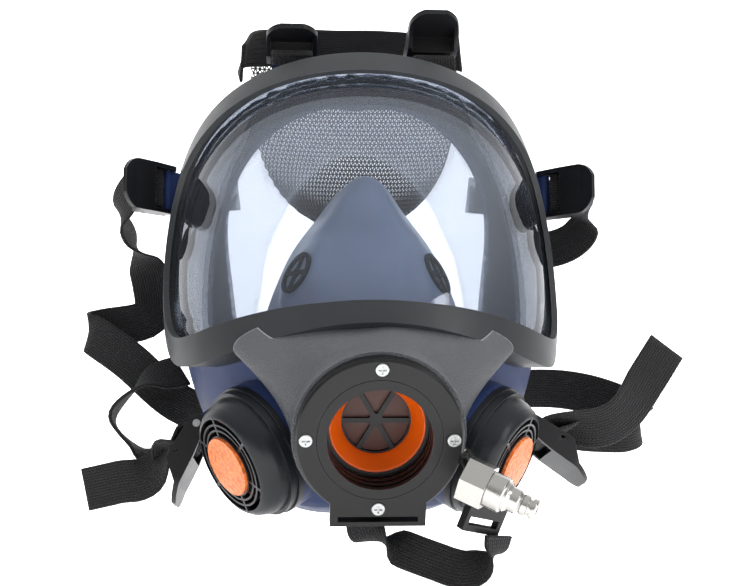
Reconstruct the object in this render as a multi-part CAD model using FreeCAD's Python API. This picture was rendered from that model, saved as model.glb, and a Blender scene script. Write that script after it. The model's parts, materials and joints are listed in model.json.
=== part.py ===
import FreeCAD, Part
import math
import os

from FreeCAD import Placement, Rotation, Vector

# Full face respirator, as worn: +Z up, the wearer looks along -Y, +X is the wearer's left.
# The origin is the centre of the filter port's mouth. Millimetres throughout.

# --- fits ---------------------------------------------------------------------------------------
REST_GAP = 0.05
RUNNING_GAP = 0.05
FAR = 120.0

# --- visor and its clamping frame ---------------------------------------------------------------
LENS_CENTRE = Vector(0, 37.7, 95.9)
LENS_LEAN = 25.2
VISOR_RADIUS = 73.2
VISOR_HALF_HEIGHT = 52.0
VISOR_BULGE_RADIUS = 235.0
VISOR_THICKNESS = 2.5
VISOR_EDGE_COVER = 3.2
LIP_PROUD = 2.2
LIP_BEHIND = 2.4
LIP_OVERLAP = 4.0
LIP_EDGE = 5.0
FRAME_PROUD = 4.6
FRAME_DEPTH_UPPER = 8.0
FRAME_DEPTH_LOWER = 13.0
FRAME_SPLIT_HEIGHT = -8.0
FRAME_SPLIT_GAP = 0.1
# Side view of the frame's opening and outer edge, (back, up) from the lens centre, top to bottom.
OPENING_EDGE = [(-2.3, 51.4), (12, 49.8), (31, 44), (50, 32.5), (61, 8)]
OPENING_EDGE += [(61.5, -20), (50, -39.5), (25, -49.8), (-2.3, -53.6)]
FRAME_EDGE = [(-3, 62.8), (12, 61.3), (31, 57.3), (52, 44.5), (66, 14)]
FRAME_EDGE += [(67.5, -20), (57, -46.5), (28, -61.5), (-3, -61.5)]
CLAMP_BACK = 70.8
CLAMP_BOSS_SIZE = 8.0
CLAMP_BOSS_REACH = 6.0
CLAMP_SCREW_RADIUS = 1.5
CLAMP_SCREW_HEAD_RADIUS = 2.6
CLAMP_SCREW_HEAD_HEIGHT = 1.8
CLAMP_BORE_CAP = 1.0
CLAMP_SCREW_END_GAP = 0.5

# --- face-piece ---------------------------------------------------------------------------------
SEAL_WALL = 2.6
SEAL_STATIONS = 19
SEAL_RINGS = [step / 6 for step in range(7)]
# Half loops from the forehead to the chin: the sealing edge and the two loops that shape the wall.
SEALING_EDGE = [(0, 104, 157), (44, 112, 148), (72, 128, 115), (75, 130, 62)]
SEALING_EDGE += [(62, 112, 8), (34, 84, -22), (0, 72, -27)]
WALL_FRONT_SHAPE = [(0, 80, 153), (48, 92, 143), (80, 106, 100), (80, 100, 52)]
WALL_FRONT_SHAPE += [(61, 66, 6), (31, 21, -12), (0, 10, -6)]
WALL_BACK_SHAPE = [(0, 94, 157), (50, 104, 149), (79, 120, 110), (80, 120, 55)]
WALL_BACK_SHAPE += [(66, 98, -4), (36, 46, -36), (0, 16, -36)]
SEALING_TURN = 4.0
SEALING_TURN_BACK = 1.5
SEALING_FLAP_DEPTH = 20.0
SEALING_FLAP_RISE = 10.0

# --- filter port --------------------------------------------------------------------------------
PORT_TILT = 20.0
PLATE_RADIUS = 29.2
PLATE_THICKNESS = 5.0
PLATE_CHAMFER = 0.8
SCREW_CIRCLE_RADIUS = 25.5
SCREW_RADIUS = 1.5
SCREW_HEAD_RADIUS = 2.4
SCREW_HEAD_PROUD = 0.5
SCREW_HEAD_SUNK = 1.1
SCREW_LENGTH = 11.0
CROSS_LENGTH = 2.8
CROSS_WIDTH = 0.6
CROSS_DEPTH = 0.8
TAB_HALF_WIDTH = 16.8
TAB_BOTTOM = -32.0
TAB_TOP = -20.0
TAB_SLOT_HALF_WIDTH = 14.0
TAB_SLOT_LOW = -30.4
TAB_SLOT_HIGH = -28.4
TAB_RING_CLEARANCE = 2.0
SCREW_HEAD_ROUND = 0.45
THREAD_RING_RADIUS = 21.0
THREAD_FLANGE_RADIUS = 21.8
THREAD_FLANGE_DEPTH = 1.5
THREAD_CREST_RADIUS = 18.2
THREAD_ROOT_RADIUS = 20.2
THREAD_PITCH = 3.63
THREAD_TURNS = 3
THREAD_FIRST_GROOVE = 3.0
THREAD_GROOVE_ROUND = 1.15
THREAD_RELIEF = 0.4
THREAD_END = 12.2
THREAD_RING_DEPTH = 16.0
BODY_RADIUS = 22.5
BODY_NECK_RADIUS = 19.5
BODY_DEPTH = 26.0
BODY_SHOULDER_DEPTH = 18.0
SEAT_RADIUS = 17.6
SEAT_RIM_RADIUS = 17.2
SEAT_FRONT_DEPTH = 12.5
SEAT_STEP_DEPTH = 14.0
SEAT_THROAT_RADIUS = 12.5
SEAT_THROAT_DEPTH = 18.5
SEAT_BACK_DEPTH = 22.0
SEAT_RIM_WALL = 0.6
BODY_LEDGE = 3.0
SPIDER_RADIUS = 13.4
SPIDER_FRONT_DEPTH = 19.0
SPIDER_THICKNESS = 1.5
SPIDER_SPOKES = 6
SPIDER_SPOKE_WIDTH = 1.7
SPIDER_HUB_RADIUS = 2.6
VALVE_STEM_RADIUS = 1.4
VALVE_HEAD_RADIUS = 2.4
VALVE_HEAD_THICKNESS = 1.0
SPIDER_RIM = 1.4
INHALATION_FLAP_RADIUS = 12.8
INHALATION_LIFT = 2.5
FLAP_THICKNESS = 0.8

# --- grey shell between the port and the visor frame --------------------------------------------
SHELL_BOSS_RADIUS = 30.5
SHELL_BOSS_DEPTH = 15.0
SHELL_WALL = 2.4
SHELL_SKIRT_DEPTH = 34.0
SHELL_SKIRT_LOW = -6.0
SKIRT_TUCK = 0.5
SHELL_CHANNEL_DEPTH = 11.0
# Foot of the skirt seen along the port's axis, (across, up), clockwise from the top centre.
SKIRT_FOOT = [(0, 36), (26, 34.5), (51, 21), (37, 9), (31.5, -2), (28, -15), (0, -29)]

# --- exhalation valves, at the cheeks -----------------------------------------------------------
EXHALE_CENTRE = Vector(54.2, 30.55, -11.04)
EXHALE_AXIS = Vector(0.79, -0.48, -0.41)
BADGE_RADIUS = 11.3
BADGE_THICKNESS = 2.0
BADGE_CROWN = 0.8
BADGE_SURROUND = 0.6
GRILLE_RADIUS = 18.3
GRILLE_FRONT = -2.4
GRILLE_THICKNESS = 1.6
GRILLE_RINGS = (13.4, 15.6)
GRILLE_RING_WIDTH = 0.8
GRILLE_RIBS = 6
GRILLE_RIB_WIDTH = 1.1
# Steps of the dome outwards and down from the grille's edge.
DOME_STEPS = [(1.2, 0.4), (3.0, 2.4)]
DOME_SHOULDER_RADIUS = 22.6
DOME_SHOULDER_HEIGHT = -8.0
COVER_RIM_RADIUS = 24.5
COVER_RIM_HEIGHT = -11.5
COVER_FOOT_HEIGHT = -14.5
COVER_WALL = 1.6
COVER_RIM_STEP = 0.5
EXHALE_FLANGE_RADIUS = 25.2
EXHALE_FLANGE_FOOT = -17.1
EXHALE_SPIGOT_RADIUS = 20.0
EXHALE_SPIGOT_END = -23.0
EXHALE_SEAT_RADIUS = 17.4
EXHALE_SEAT_BORE = 15.6
EXHALE_SEAT_HEIGHT = -10.2
EXHALE_FLAP_RADIUS = 17.0
EXHALE_LIFT = 2.0
EXHALE_ARMS = 4
EXHALE_ARM_WIDTH = 1.6
EXHALE_ARM_DEPTH = 2.0
VALVE_CLEARANCE = 0.3
BOSS_INSET = 0.2
BOSS_END = -24.0

# --- nose cup and its check valves --------------------------------------------------------------
CUP_WALL = 1.8
CUP_COLLAR_DEPTH = 21.0
CHECK_CENTRE = Vector(27.0, 61.0, 63.0)
CHECK_AXIS = Vector(0.80, -0.42, 0.42)
CHECK_RADIUS = 9.0
CHECK_THICKNESS = 4.0
CHECK_BORE = 7.2
CHECK_FLAP_RADIUS = 8.0
CHECK_LIFT = 1.5
CHECK_FLAP_THICKNESS = 0.6
CHECK_FLAP_CLEARANCE = 0.3
CHECK_ARMS = 4
CHECK_ARM_WIDTH = 1.2
CHECK_ARM_DEPTH = 1.2
CHECK_HUB_RADIUS = 2.0
CHECK_STEM_RADIUS = 1.0
CHECK_HEAD_RADIUS = 1.8
CHECK_HEAD_THICKNESS = 0.8

# --- buckles and lugs ---------------------------------------------------------------------------
BUCKLE_HALF_WIDTH = 10.7
BUCKLE_CHEEK = 1.8
BUCKLE_LENGTH = 31.0
BUCKLE_HALF_HEIGHT = 4.6
BUCKLE_PIVOT_ROUND = 3.6
BUCKLE_TONGUE_START = 14.0
BUCKLE_TONGUE_THICKNESS = 2.2
BUCKLE_BAR_AT = 7.5
BUCKLE_BAR_RADIUS = 1.5
BUCKLE_RIB_THICKNESS = 1.6
BUCKLE_EYE_RADIUS = 0.9
BUCKLE_EYE_AT = 13.0
BUCKLE_EYE_RISE = -2.4
BUCKLE_FULL_FROM = 12.0
BUCKLE_FULL_TO = 17.0
BUCKLE_THIN_FROM = 24.0
BUCKLE_TIP_LOW = -0.5
BUCKLE_TIP_HIGH = 1.4
BUCKLE_TIP_ROUND = 0.9
PIN_RADIUS = 1.5
LUG_HALF_WIDTH = 8.6
LUG_HALF_HEIGHT = 2.5
LUG_LENGTH = 14.0

# --- air-line coupling --------------------------------------------------------------------------
COUPLING_CENTRE = Vector(31.6, -9.2, -13.7)
COUPLING_AXIS = Vector(0.86, -0.33, -0.40)
HEX_ACROSS_FLATS = 14.4
HEX_LENGTH = 9.0
COUPLING_PIPE_RADIUS = 2.8
COUPLING_PIPE_BACK = -9.5
SLEEVE_RADIUS = 6.2
SLEEVE_LENGTH = 6.0
NECK_RADIUS = 5.2
NECK_LENGTH = 0.8
SHANK_RADIUS = 4.3
SHANK_LENGTH = 5.0
NOSE_RADIUS = 3.7
NOSE_LENGTH = 5.6
NOSE_GROOVE_RADIUS = 2.9
NOSE_GROOVE_WIDTH = 1.2
NIPPLE_BORE = 1.8
SPIGOT_RADIUS = 3.2
SPIGOT_LENGTH = 6.0
SPIGOT_GROOVE_RADIUS = 2.4
SPIGOT_GROOVE_WIDTH = 1.8
RING_CORD_RADIUS = 0.38
HEX_BOUND_FOOT = 4.0
HEX_BOUND_TOP = -1.0
COUPLING_ENTRY = 6.0
SOCKET_END_GAP = 0.5
RING_LAND = 1.0
SLEEVE_CHAMFER = 0.6
SHANK_LEAD_OUT = 0.8
SHANK_LEAD_DEPTH = 1.2
SHANK_TAPER = 1.0
NOSE_CHAMFER = 0.5
NOSE_TAPER = 0.6
NOSE_GROOVE_AT = 0.45

# --- webbing ------------------------------------------------------------------------------------
STRAP_WIDTH = 17.0
STRAP_THICKNESS = 1.2
STRAP_BAR_GAP = 0.4
NECK_STRAP_SHARE = 0.8
NET_THICKNESS = 1.2
NET_HALF_WIDTH = 48.0
NET_EDGE_BACK = 140.0
NET_MIDDLE_BACK = 150.0
NET_LOW = 92.0
NET_HEIGHT = 82.0
SLIDER_BORDER = 2.4
SLIDER_FRAME = 2.0
SLIDER_HALF_HEIGHT = 8.0
SLIDER_HALF_THICKNESS = 1.6
SLIDER_WINDOWS = (-5.6, 2.6)
SLIDER_WINDOW_HEIGHT = 3.0

port_frame = Placement(Vector(0, 0, 0), Rotation(Vector(1, 0, 0), 90 + PORT_TILT))
lens_frame = Placement(LENS_CENTRE, Rotation(Vector(1, 0, 0), -LENS_LEAN))
X_AXIS = Vector(1, 0, 0)
Y_AXIS = Vector(0, 1, 0)
Z_AXIS = Vector(0, 0, 1)
ORIGIN = Vector(0, 0, 0)


# --- basic shapes -------------------------------------------------------------------------------
def export(name, shape):
    shape.exportStep(os.path.join("parts", name + ".step"))


def export_pair(name, shape):
    """Writes the piece on the wearer's left and its mirror image on the right."""
    export(name + "_left", shape)
    export(name + "_right", shape.mirror(ORIGIN, X_AXIS))


def placed(shape, placement):
    result = shape.copy()
    result.transformShape(placement.toMatrix())
    return result


def flipped(vector):
    """The vector's mirror image on the other side."""
    return Vector(-vector[0], vector[1], vector[2])


def turned(corners):
    """Solid of revolution about Z from (radius, height) corners."""
    points = [Vector(radius, 0, height) for radius, height in corners]
    return Part.Face(Part.makePolygon(points + points[:1])).revolve(ORIGIN, Z_AXIS, 360)


def tube(inner, outer, low, high):
    return turned([(inner, low), (outer, low), (outer, high), (inner, high)])


def rod(radius, low, high, across=0.0, up=0.0):
    return Part.makeCylinder(radius, high - low, Vector(across, up, low), Z_AXIS)


def block(low, high):
    low, high = Vector(*low), Vector(*high)
    size = high - low
    return Part.makeBox(size.x, size.y, size.z, low)


def pin_between(start, end, radius):
    return Part.makeCylinder(radius, (end - start).Length, start, end - start)


def extruded(points, vector):
    return Part.Face(Part.makePolygon(points + points[:1])).extrude(vector)


def frame_of(origin, x, y, z):
    """Frame at origin with the given unit axes."""
    rows = [(x.x, y.x, z.x, origin.x), (x.y, y.y, z.y, origin.y), (x.z, y.z, z.z, origin.z), (0, 0, 0, 1)]
    return Placement(FreeCAD.Matrix(*[value for row in rows for value in row]))


def axis_frame(origin, axis):
    """Frame at origin with its Z along axis and its X as level as it can be."""
    z = Vector(axis).normalize()
    x = Z_AXIS.cross(z).normalize()
    return frame_of(origin, x, z.cross(x), z)


def closed_curve(points):
    curve = Part.BSplineCurve()
    curve.interpolate(Points=points, PeriodicFlag=True)
    return curve.toShape()


def open_curve(points):
    curve = Part.BSplineCurve()
    curve.interpolate(Points=points)
    return curve


def whole_loop(half):
    """Closes a half loop, which starts and ends on the mirror plane, with its mirror image."""
    return half + [flipped(point) for point in reversed(half[1:-1])]


def banded(loops):
    """Closed wall made of ruled bands from each loop to the next, and from the last to the first."""
    edges = [closed_curve(loop) for loop in loops]
    pairs = zip(edges, edges[1:] + edges[:1])
    bands = [Part.makeRuledSurface(edge, following) for edge, following in pairs]
    skin = Part.Shell(bands)
    skin.sewShape()
    wall = Part.Solid(skin)
    if wall.Volume < 0:
        wall.reverse()
    return wall


def largest(shape):
    return max(shape.Solids, key=lambda solid: solid.Volume)


# --- visor, lip and frame -----------------------------------------------------------------------
def barrel_radius(height, offset):
    """Radius of the barrel at a height, for a surface offset outwards from the visor's outer face."""
    bulge = VISOR_BULGE_RADIUS + offset
    chord = math.sqrt(VISOR_BULGE_RADIUS**2 - VISOR_HALF_HEIGHT**2)
    return VISOR_RADIUS + math.sqrt(bulge**2 - height**2) - chord


def barrel_wall(inner, outer):
    """Front half turn of the barrel between two offsets, in the lens frame."""
    reach = VISOR_HALF_HEIGHT * 1.5

    def arc(offset):
        corners = [Vector(barrel_radius(h, offset), VISOR_RADIUS, h) for h in (-reach, 0, reach)]
        return Part.Arc(*corners).toShape()

    near, far = arc(inner), arc(outer)
    bottom = Part.makeLine(near.Vertexes[0].Point, far.Vertexes[0].Point)
    top = Part.makeLine(far.Vertexes[1].Point, near.Vertexes[1].Point)
    face = Part.Face(Part.Wire(Part.__sortEdges__([near, top, far, bottom])))
    return face.revolve(Vector(0, VISOR_RADIUS, 0), Vector(0, 0, -1), 180)


def edge_curve(edge, grow=0.0):
    """Side-view spline through the edge's points, moved outwards by grow."""
    points = [Vector(0, back, up) for back, up in edge]
    curve = open_curve(points)
    if not grow:
        return curve
    moved = []
    for point in points:
        tangent = curve.tangent(curve.parameter(point))[0]
        moved.append(point + Vector(0, -tangent.z, tangent.y) * grow)
    return open_curve(moved)


def outline_prism(edge, grow=0.0):
    """Prism along X that holds everything inside the rim outline, in the lens frame."""
    curve = edge_curve(edge, grow)
    top, bottom = curve.StartPoint, curve.EndPoint
    front_top = Vector(0, -FAR / 4, top.z)
    front_bottom = Vector(0, -FAR / 4, bottom.z)
    corners = [bottom, front_bottom, front_top, top]
    lines = [Part.makeLine(start, end) for start, end in zip(corners, corners[1:])]
    face = Part.Face(Part.Wire([curve.toShape()] + lines))
    face.translate(Vector(-FAR, 0, 0))
    return face.extrude(Vector(2 * FAR, 0, 0))


def make_visor():
    return barrel_wall(-VISOR_THICKNESS, 0).common(outline_prism(OPENING_EDGE, VISOR_EDGE_COVER))


def make_lip(visor):
    """The face-piece's lip, which wraps round the visor's edge."""
    band = outline_prism(OPENING_EDGE, LIP_EDGE).cut(outline_prism(OPENING_EDGE, -LIP_OVERLAP))
    return barrel_wall(-VISOR_THICKNESS - LIP_BEHIND, LIP_PROUD).common(band).cut(visor)


def make_frame_ring():
    """Both halves of the frame in one: a face over the lip, and a wall back along the lip's edge."""
    outside = outline_prism(FRAME_EDGE)
    face = barrel_wall(LIP_PROUD, FRAME_PROUD).common(outside.cut(outline_prism(OPENING_EDGE)))
    rim = outside.cut(outline_prism(OPENING_EDGE, LIP_EDGE))
    wall = barrel_wall(-FRAME_DEPTH_UPPER, FRAME_PROUD).common(rim)
    lower = block((-FAR, -FAR, -FAR), (FAR, FAR, -VISOR_HALF_HEIGHT / 2))
    skirt = barrel_wall(-FRAME_DEPTH_LOWER, FRAME_PROUD).common(rim).common(lower)
    return face.fuse([wall, skirt]).removeSplitter()


def clamp_point():
    """Centre of the side clamp, on the split line behind the frame's wall."""
    radius = barrel_radius(FRAME_SPLIT_HEIGHT, -FRAME_DEPTH_UPPER / 2)
    across = math.sqrt(radius**2 - (CLAMP_BACK - VISOR_RADIUS) ** 2)
    return Vector(across, CLAMP_BACK, FRAME_SPLIT_HEIGHT)


def make_frame_halves():
    ring = make_frame_ring()
    centre = clamp_point()
    half = CLAMP_BOSS_SIZE / 2
    low = (centre.x - half, centre.y - half, centre.z - CLAMP_BOSS_REACH)
    high = (centre.x + half, centre.y + half, centre.z + CLAMP_BOSS_REACH)
    boss = block(low, high)
    ring = ring.fuse([boss, boss.mirror(ORIGIN, X_AXIS)])
    bore_end = centre.z + CLAMP_BOSS_REACH - CLAMP_BORE_CAP
    bore = rod(CLAMP_SCREW_RADIUS + RUNNING_GAP, centre.z - FAR / 6, bore_end, centre.x, centre.y)
    ring = ring.cut(bore).cut(bore.mirror(ORIGIN, X_AXIS))
    above = block((-FAR, -FAR, FRAME_SPLIT_HEIGHT + FRAME_SPLIT_GAP / 2), (FAR, FAR, FAR))
    below = block((-FAR, -FAR, -FAR), (FAR, FAR, FRAME_SPLIT_HEIGHT - FRAME_SPLIT_GAP / 2))
    return ring.common(above), ring.common(below)


def make_screw_room():
    """Space under each clamp for the screw and its driver."""
    centre = clamp_point()
    radius = CLAMP_SCREW_HEAD_RADIUS + REST_GAP
    room = rod(radius, centre.z - FAR / 3, centre.z + CLAMP_BOSS_REACH, centre.x, centre.y)
    return room.fuse(room.mirror(ORIGIN, X_AXIS))


def make_frame_screws():
    centre = clamp_point()
    foot = centre.z - CLAMP_BOSS_REACH
    head_low = foot - CLAMP_SCREW_HEAD_HEIGHT
    shank_end = centre.z + CLAMP_BOSS_REACH - CLAMP_BORE_CAP - CLAMP_SCREW_END_GAP
    shank = rod(CLAMP_SCREW_RADIUS, foot - 2 * REST_GAP, shank_end, centre.x, centre.y)
    head = rod(CLAMP_SCREW_HEAD_RADIUS, head_low, foot - REST_GAP, centre.x, centre.y)
    slot = block((-CROSS_WIDTH / 2, -FAR, head_low), (CROSS_WIDTH / 2, FAR, head_low + CROSS_DEPTH))
    slot.translate(Vector(centre.x, 0, 0))
    screw = shank.fuse(head).cut(slot)
    return Part.Compound([screw, screw.mirror(ORIGIN, X_AXIS)])


# --- face-piece ---------------------------------------------------------------------------------
def evenly(points, count):
    return open_curve(points).toShape().discretize(Number=count)


def lens_half_loop(offset, grow):
    """Half loop on the barrel under the rim outline, from the top centre to the bottom centre."""
    curve = edge_curve(OPENING_EDGE, grow)
    samples = curve.toShape().discretize(Number=SEAL_STATIONS * 3)
    points = []
    for sample in samples:
        radius = barrel_radius(sample.z, offset)
        across_squared = radius**2 - (sample.y - VISOR_RADIUS) ** 2
        if across_squared > 1.0:
            points.append(Vector(math.sqrt(across_squared), sample.y, sample.z))
    top, bottom = samples[0].z, samples[-1].z
    points.insert(0, Vector(0, VISOR_RADIUS - barrel_radius(top, offset), top))
    points.append(Vector(0, VISOR_RADIUS - barrel_radius(bottom, offset), bottom))
    return [lens_frame.multVec(point) for point in evenly(points, SEAL_STATIONS)]


def bezier(a, b, c, d, t):
    s = 1 - t
    return a * s**3 + b * (3 * s * s * t) + c * (3 * s * t * t) + d * t**3


def seal_rings():
    """Half loops of the face-piece's outer face, from the lens rim to the tip of the sealing flap."""
    rim = lens_half_loop(-VISOR_THICKNESS - LIP_BEHIND / 2, LIP_EDGE - SEAL_WALL / 4)
    front, back, edge = (
        evenly([Vector(*point) for point in loop], SEAL_STATIONS)
        for loop in (WALL_FRONT_SHAPE, WALL_BACK_SHAPE, SEALING_EDGE)
    )
    rings = [[bezier(a, b, c, d, t) for a, b, c, d in zip(rim, front, back, edge)] for t in SEAL_RINGS]
    middle = Vector(0, edge[SEAL_STATIONS // 2].y, (edge[0].z + edge[-1].z) / 2)
    turn, tip = [], []
    for point in edge:
        inwards = Vector(-point.x, 0, middle.z - point.z).normalize()
        turn.append(point + inwards * SEALING_TURN + Vector(0, SEALING_TURN_BACK, 0))
        tip.append(point + inwards * SEALING_FLAP_DEPTH - Vector(0, SEALING_FLAP_RISE, 0))
    return rings + [turn, tip]


def inner_rings(rings):
    """The same half loops moved into the wall by its thickness."""
    result = []
    for i, ring in enumerate(rings):
        before, after = rings[max(i - 1, 0)], rings[min(i + 1, len(rings) - 1)]
        moved = []
        for j, point in enumerate(ring):
            along = ring[min(j + 1, len(ring) - 1)] - ring[max(j - 1, 0)]
            if j in (0, len(ring) - 1):
                along = Vector(1 if j == 0 else -1, 0, 0)
            normal = along.cross(after[j] - before[j]).normalize()
            moved.append(point - normal * SEAL_WALL)
        result.append(moved)
    return result


def make_seal_wall():
    """Wall from the lens rim to the sealing flap's tip, and back along its inner face."""
    outer = seal_rings()
    return banded([whole_loop(half) for half in outer + inner_rings(outer)[::-1]])


# --- filter port, in the port frame: the mouth is at height 0 and the inside is below it --------
def make_plate():
    edge = PLATE_RADIUS - PLATE_CHAMFER
    corners = [(THREAD_RING_RADIUS + REST_GAP, -PLATE_THICKNESS), (PLATE_RADIUS, -PLATE_THICKNESS)]
    corners += [(PLATE_RADIUS, -PLATE_CHAMFER), (edge, 0), (THREAD_FLANGE_RADIUS + REST_GAP, 0)]
    recess = -THREAD_FLANGE_DEPTH - REST_GAP
    corners += [(THREAD_FLANGE_RADIUS + REST_GAP, recess), (THREAD_RING_RADIUS + REST_GAP, recess)]
    plate = turned(corners)
    tab = block((-TAB_HALF_WIDTH, TAB_BOTTOM, -PLATE_THICKNESS), (TAB_HALF_WIDTH, TAB_TOP, 0))
    tab = tab.cut(rod(THREAD_FLANGE_RADIUS + TAB_RING_CLEARANCE, -FAR, FAR))
    slot = block((-TAB_SLOT_HALF_WIDTH, TAB_SLOT_LOW, -FAR), (TAB_SLOT_HALF_WIDTH, TAB_SLOT_HIGH, FAR))
    plate = plate.fuse(tab).removeSplitter().cut(slot)
    for across, up in screw_places():
        plate = plate.cut(rod(SCREW_RADIUS + RUNNING_GAP, -FAR, FAR, across, up))
        plate = plate.cut(rod(SCREW_HEAD_RADIUS + REST_GAP, -SCREW_HEAD_SUNK - REST_GAP, FAR, across, up))
    return plate


def screw_places():
    r = SCREW_CIRCLE_RADIUS
    return [(r, 0), (0, r), (-r, 0), (0, -r)]


def make_plate_screws():
    length, half = CROSS_LENGTH / 2, CROSS_WIDTH / 2
    bottom = SCREW_HEAD_PROUD - CROSS_DEPTH
    level = block((-length, -half, bottom), (length, half, FAR))
    upright = block((-half, -length, bottom), (half, length, FAR))
    cross = level.fuse(upright)
    head = rod(SCREW_HEAD_RADIUS, -SCREW_HEAD_SUNK, SCREW_HEAD_PROUD)
    head = head.makeFillet(SCREW_HEAD_ROUND, [edge for edge in head.Edges if edge.BoundBox.ZMin > 0])
    screw = head.fuse(rod(SCREW_RADIUS, -SCREW_LENGTH, -SCREW_HEAD_SUNK)).cut(cross)
    screws = []
    for across, up in screw_places():
        screws.append(screw.translated(Vector(across, up, 0)))
    return Part.Compound(screws)


def make_thread_ring():
    """Ring with a round-form 40 mm thread, shown as parallel grooves, and a relief behind the thread."""
    relief = THREAD_CREST_RADIUS + THREAD_RELIEF
    corners = [(THREAD_CREST_RADIUS, 0), (THREAD_FLANGE_RADIUS, 0), (THREAD_FLANGE_RADIUS, -THREAD_FLANGE_DEPTH)]
    corners += [(THREAD_RING_RADIUS, -THREAD_FLANGE_DEPTH), (THREAD_RING_RADIUS, -THREAD_RING_DEPTH)]
    corners += [(relief, -THREAD_RING_DEPTH), (relief, -THREAD_END), (THREAD_CREST_RADIUS, -THREAD_END)]
    ring = turned(corners)
    centre = THREAD_ROOT_RADIUS - THREAD_GROOVE_ROUND
    for turn in range(THREAD_TURNS):
        depth = THREAD_FIRST_GROOVE + turn * THREAD_PITCH
        ring = ring.cut(Part.makeTorus(centre, THREAD_GROOVE_ROUND, Vector(0, 0, -depth)))
    return ring


def make_port_body():
    """Tube from the plate, through the shell and the face-piece, to the nose cup."""
    bore = THREAD_RING_RADIUS + REST_GAP
    seat_bore = SEAT_RADIUS + REST_GAP
    step = -THREAD_RING_DEPTH - REST_GAP
    corners = [(bore, -PLATE_THICKNESS - REST_GAP), (BODY_RADIUS, -PLATE_THICKNESS - REST_GAP)]
    corners += [(BODY_RADIUS, -BODY_SHOULDER_DEPTH), (BODY_NECK_RADIUS, -BODY_SHOULDER_DEPTH)]
    back = -SEAT_BACK_DEPTH - REST_GAP
    ledge = SEAT_RADIUS - BODY_LEDGE
    corners += [(BODY_NECK_RADIUS, -BODY_DEPTH), (ledge, -BODY_DEPTH), (ledge, back), (seat_bore, back)]
    corners += [(seat_bore, step), (bore, step)]
    return turned(corners)


def make_port_gasket():
    outer = THREAD_CREST_RADIUS + THREAD_RELIEF - REST_GAP
    return tube(SEAT_RIM_RADIUS + REST_GAP, outer, -SEAT_STEP_DEPTH + REST_GAP, -SEAT_FRONT_DEPTH)


def make_inhalation_seat():
    counterbore = SPIDER_RADIUS + REST_GAP
    ledge = -SPIDER_FRONT_DEPTH + REST_GAP
    corners = [(SEAT_RIM_RADIUS, -SEAT_FRONT_DEPTH), (SEAT_RIM_RADIUS, -SEAT_STEP_DEPTH)]
    corners += [(SEAT_RADIUS, -SEAT_STEP_DEPTH), (SEAT_RADIUS, -SEAT_BACK_DEPTH)]
    corners += [(counterbore, -SEAT_BACK_DEPTH), (counterbore, ledge)]
    corners += [(SEAT_THROAT_RADIUS, ledge), (SEAT_THROAT_RADIUS, -SEAT_THROAT_DEPTH)]
    corners += [(SEAT_RIM_RADIUS - SEAT_RIM_WALL, -SEAT_FRONT_DEPTH)]
    return turned(corners)


def spoked_disc(radius, rim, spokes, width, hub, low, high):
    disc = tube(radius - rim, radius, low, high).fuse(rod(hub, low, high))
    for spoke in range(spokes):
        arm = block((0, -width / 2, low), (radius - rim / 2, width / 2, high))
        disc = disc.fuse(placed(arm, Placement(ORIGIN, Rotation(Z_AXIS, spoke * 360 / spokes))))
    return disc.removeSplitter()


def make_inhalation_spider():
    front = -SPIDER_FRONT_DEPTH
    back = front - SPIDER_THICKNESS
    width, hub = SPIDER_SPOKE_WIDTH, SPIDER_HUB_RADIUS
    disc = spoked_disc(SPIDER_RADIUS, SPIDER_RIM, SPIDER_SPOKES, width, hub, back, front)
    head_front = back - FLAP_THICKNESS - INHALATION_LIFT - 2 * REST_GAP
    stem = rod(VALVE_STEM_RADIUS, head_front - VALVE_HEAD_THICKNESS, back)
    head = rod(VALVE_HEAD_RADIUS, head_front - VALVE_HEAD_THICKNESS, head_front)
    return disc.fuse([stem, head]).removeSplitter()


def make_inhalation_flap():
    high = -SPIDER_FRONT_DEPTH - SPIDER_THICKNESS - REST_GAP
    return tube(VALVE_STEM_RADIUS + RUNNING_GAP, INHALATION_FLAP_RADIUS, high - FLAP_THICKNESS, high)


# --- grey shell ---------------------------------------------------------------------------------
def skirt_loft(inset, top, foot):
    """Filled skirt from the boss circle to its foot, both drawn smaller by inset, in the port frame."""
    ring, base = [], []
    count = len(SKIRT_FOOT)
    for index, (across, up) in enumerate(SKIRT_FOOT):
        angle = math.atan2(across, up) if 0 < index < count - 1 else math.pi * (index > 0)
        radius = SHELL_BOSS_RADIUS - SKIRT_TUCK - inset
        ring.append(Vector(radius * math.sin(angle), radius * math.cos(angle), top))
        shrink = 1 - inset / math.hypot(across, up)
        base.append(Vector(across * shrink, up * shrink, foot))
    profiles = [Part.Wire([closed_curve(whole_loop(half))]) for half in (ring, base)]
    return Part.makeLoft(profiles, True, True)


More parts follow.
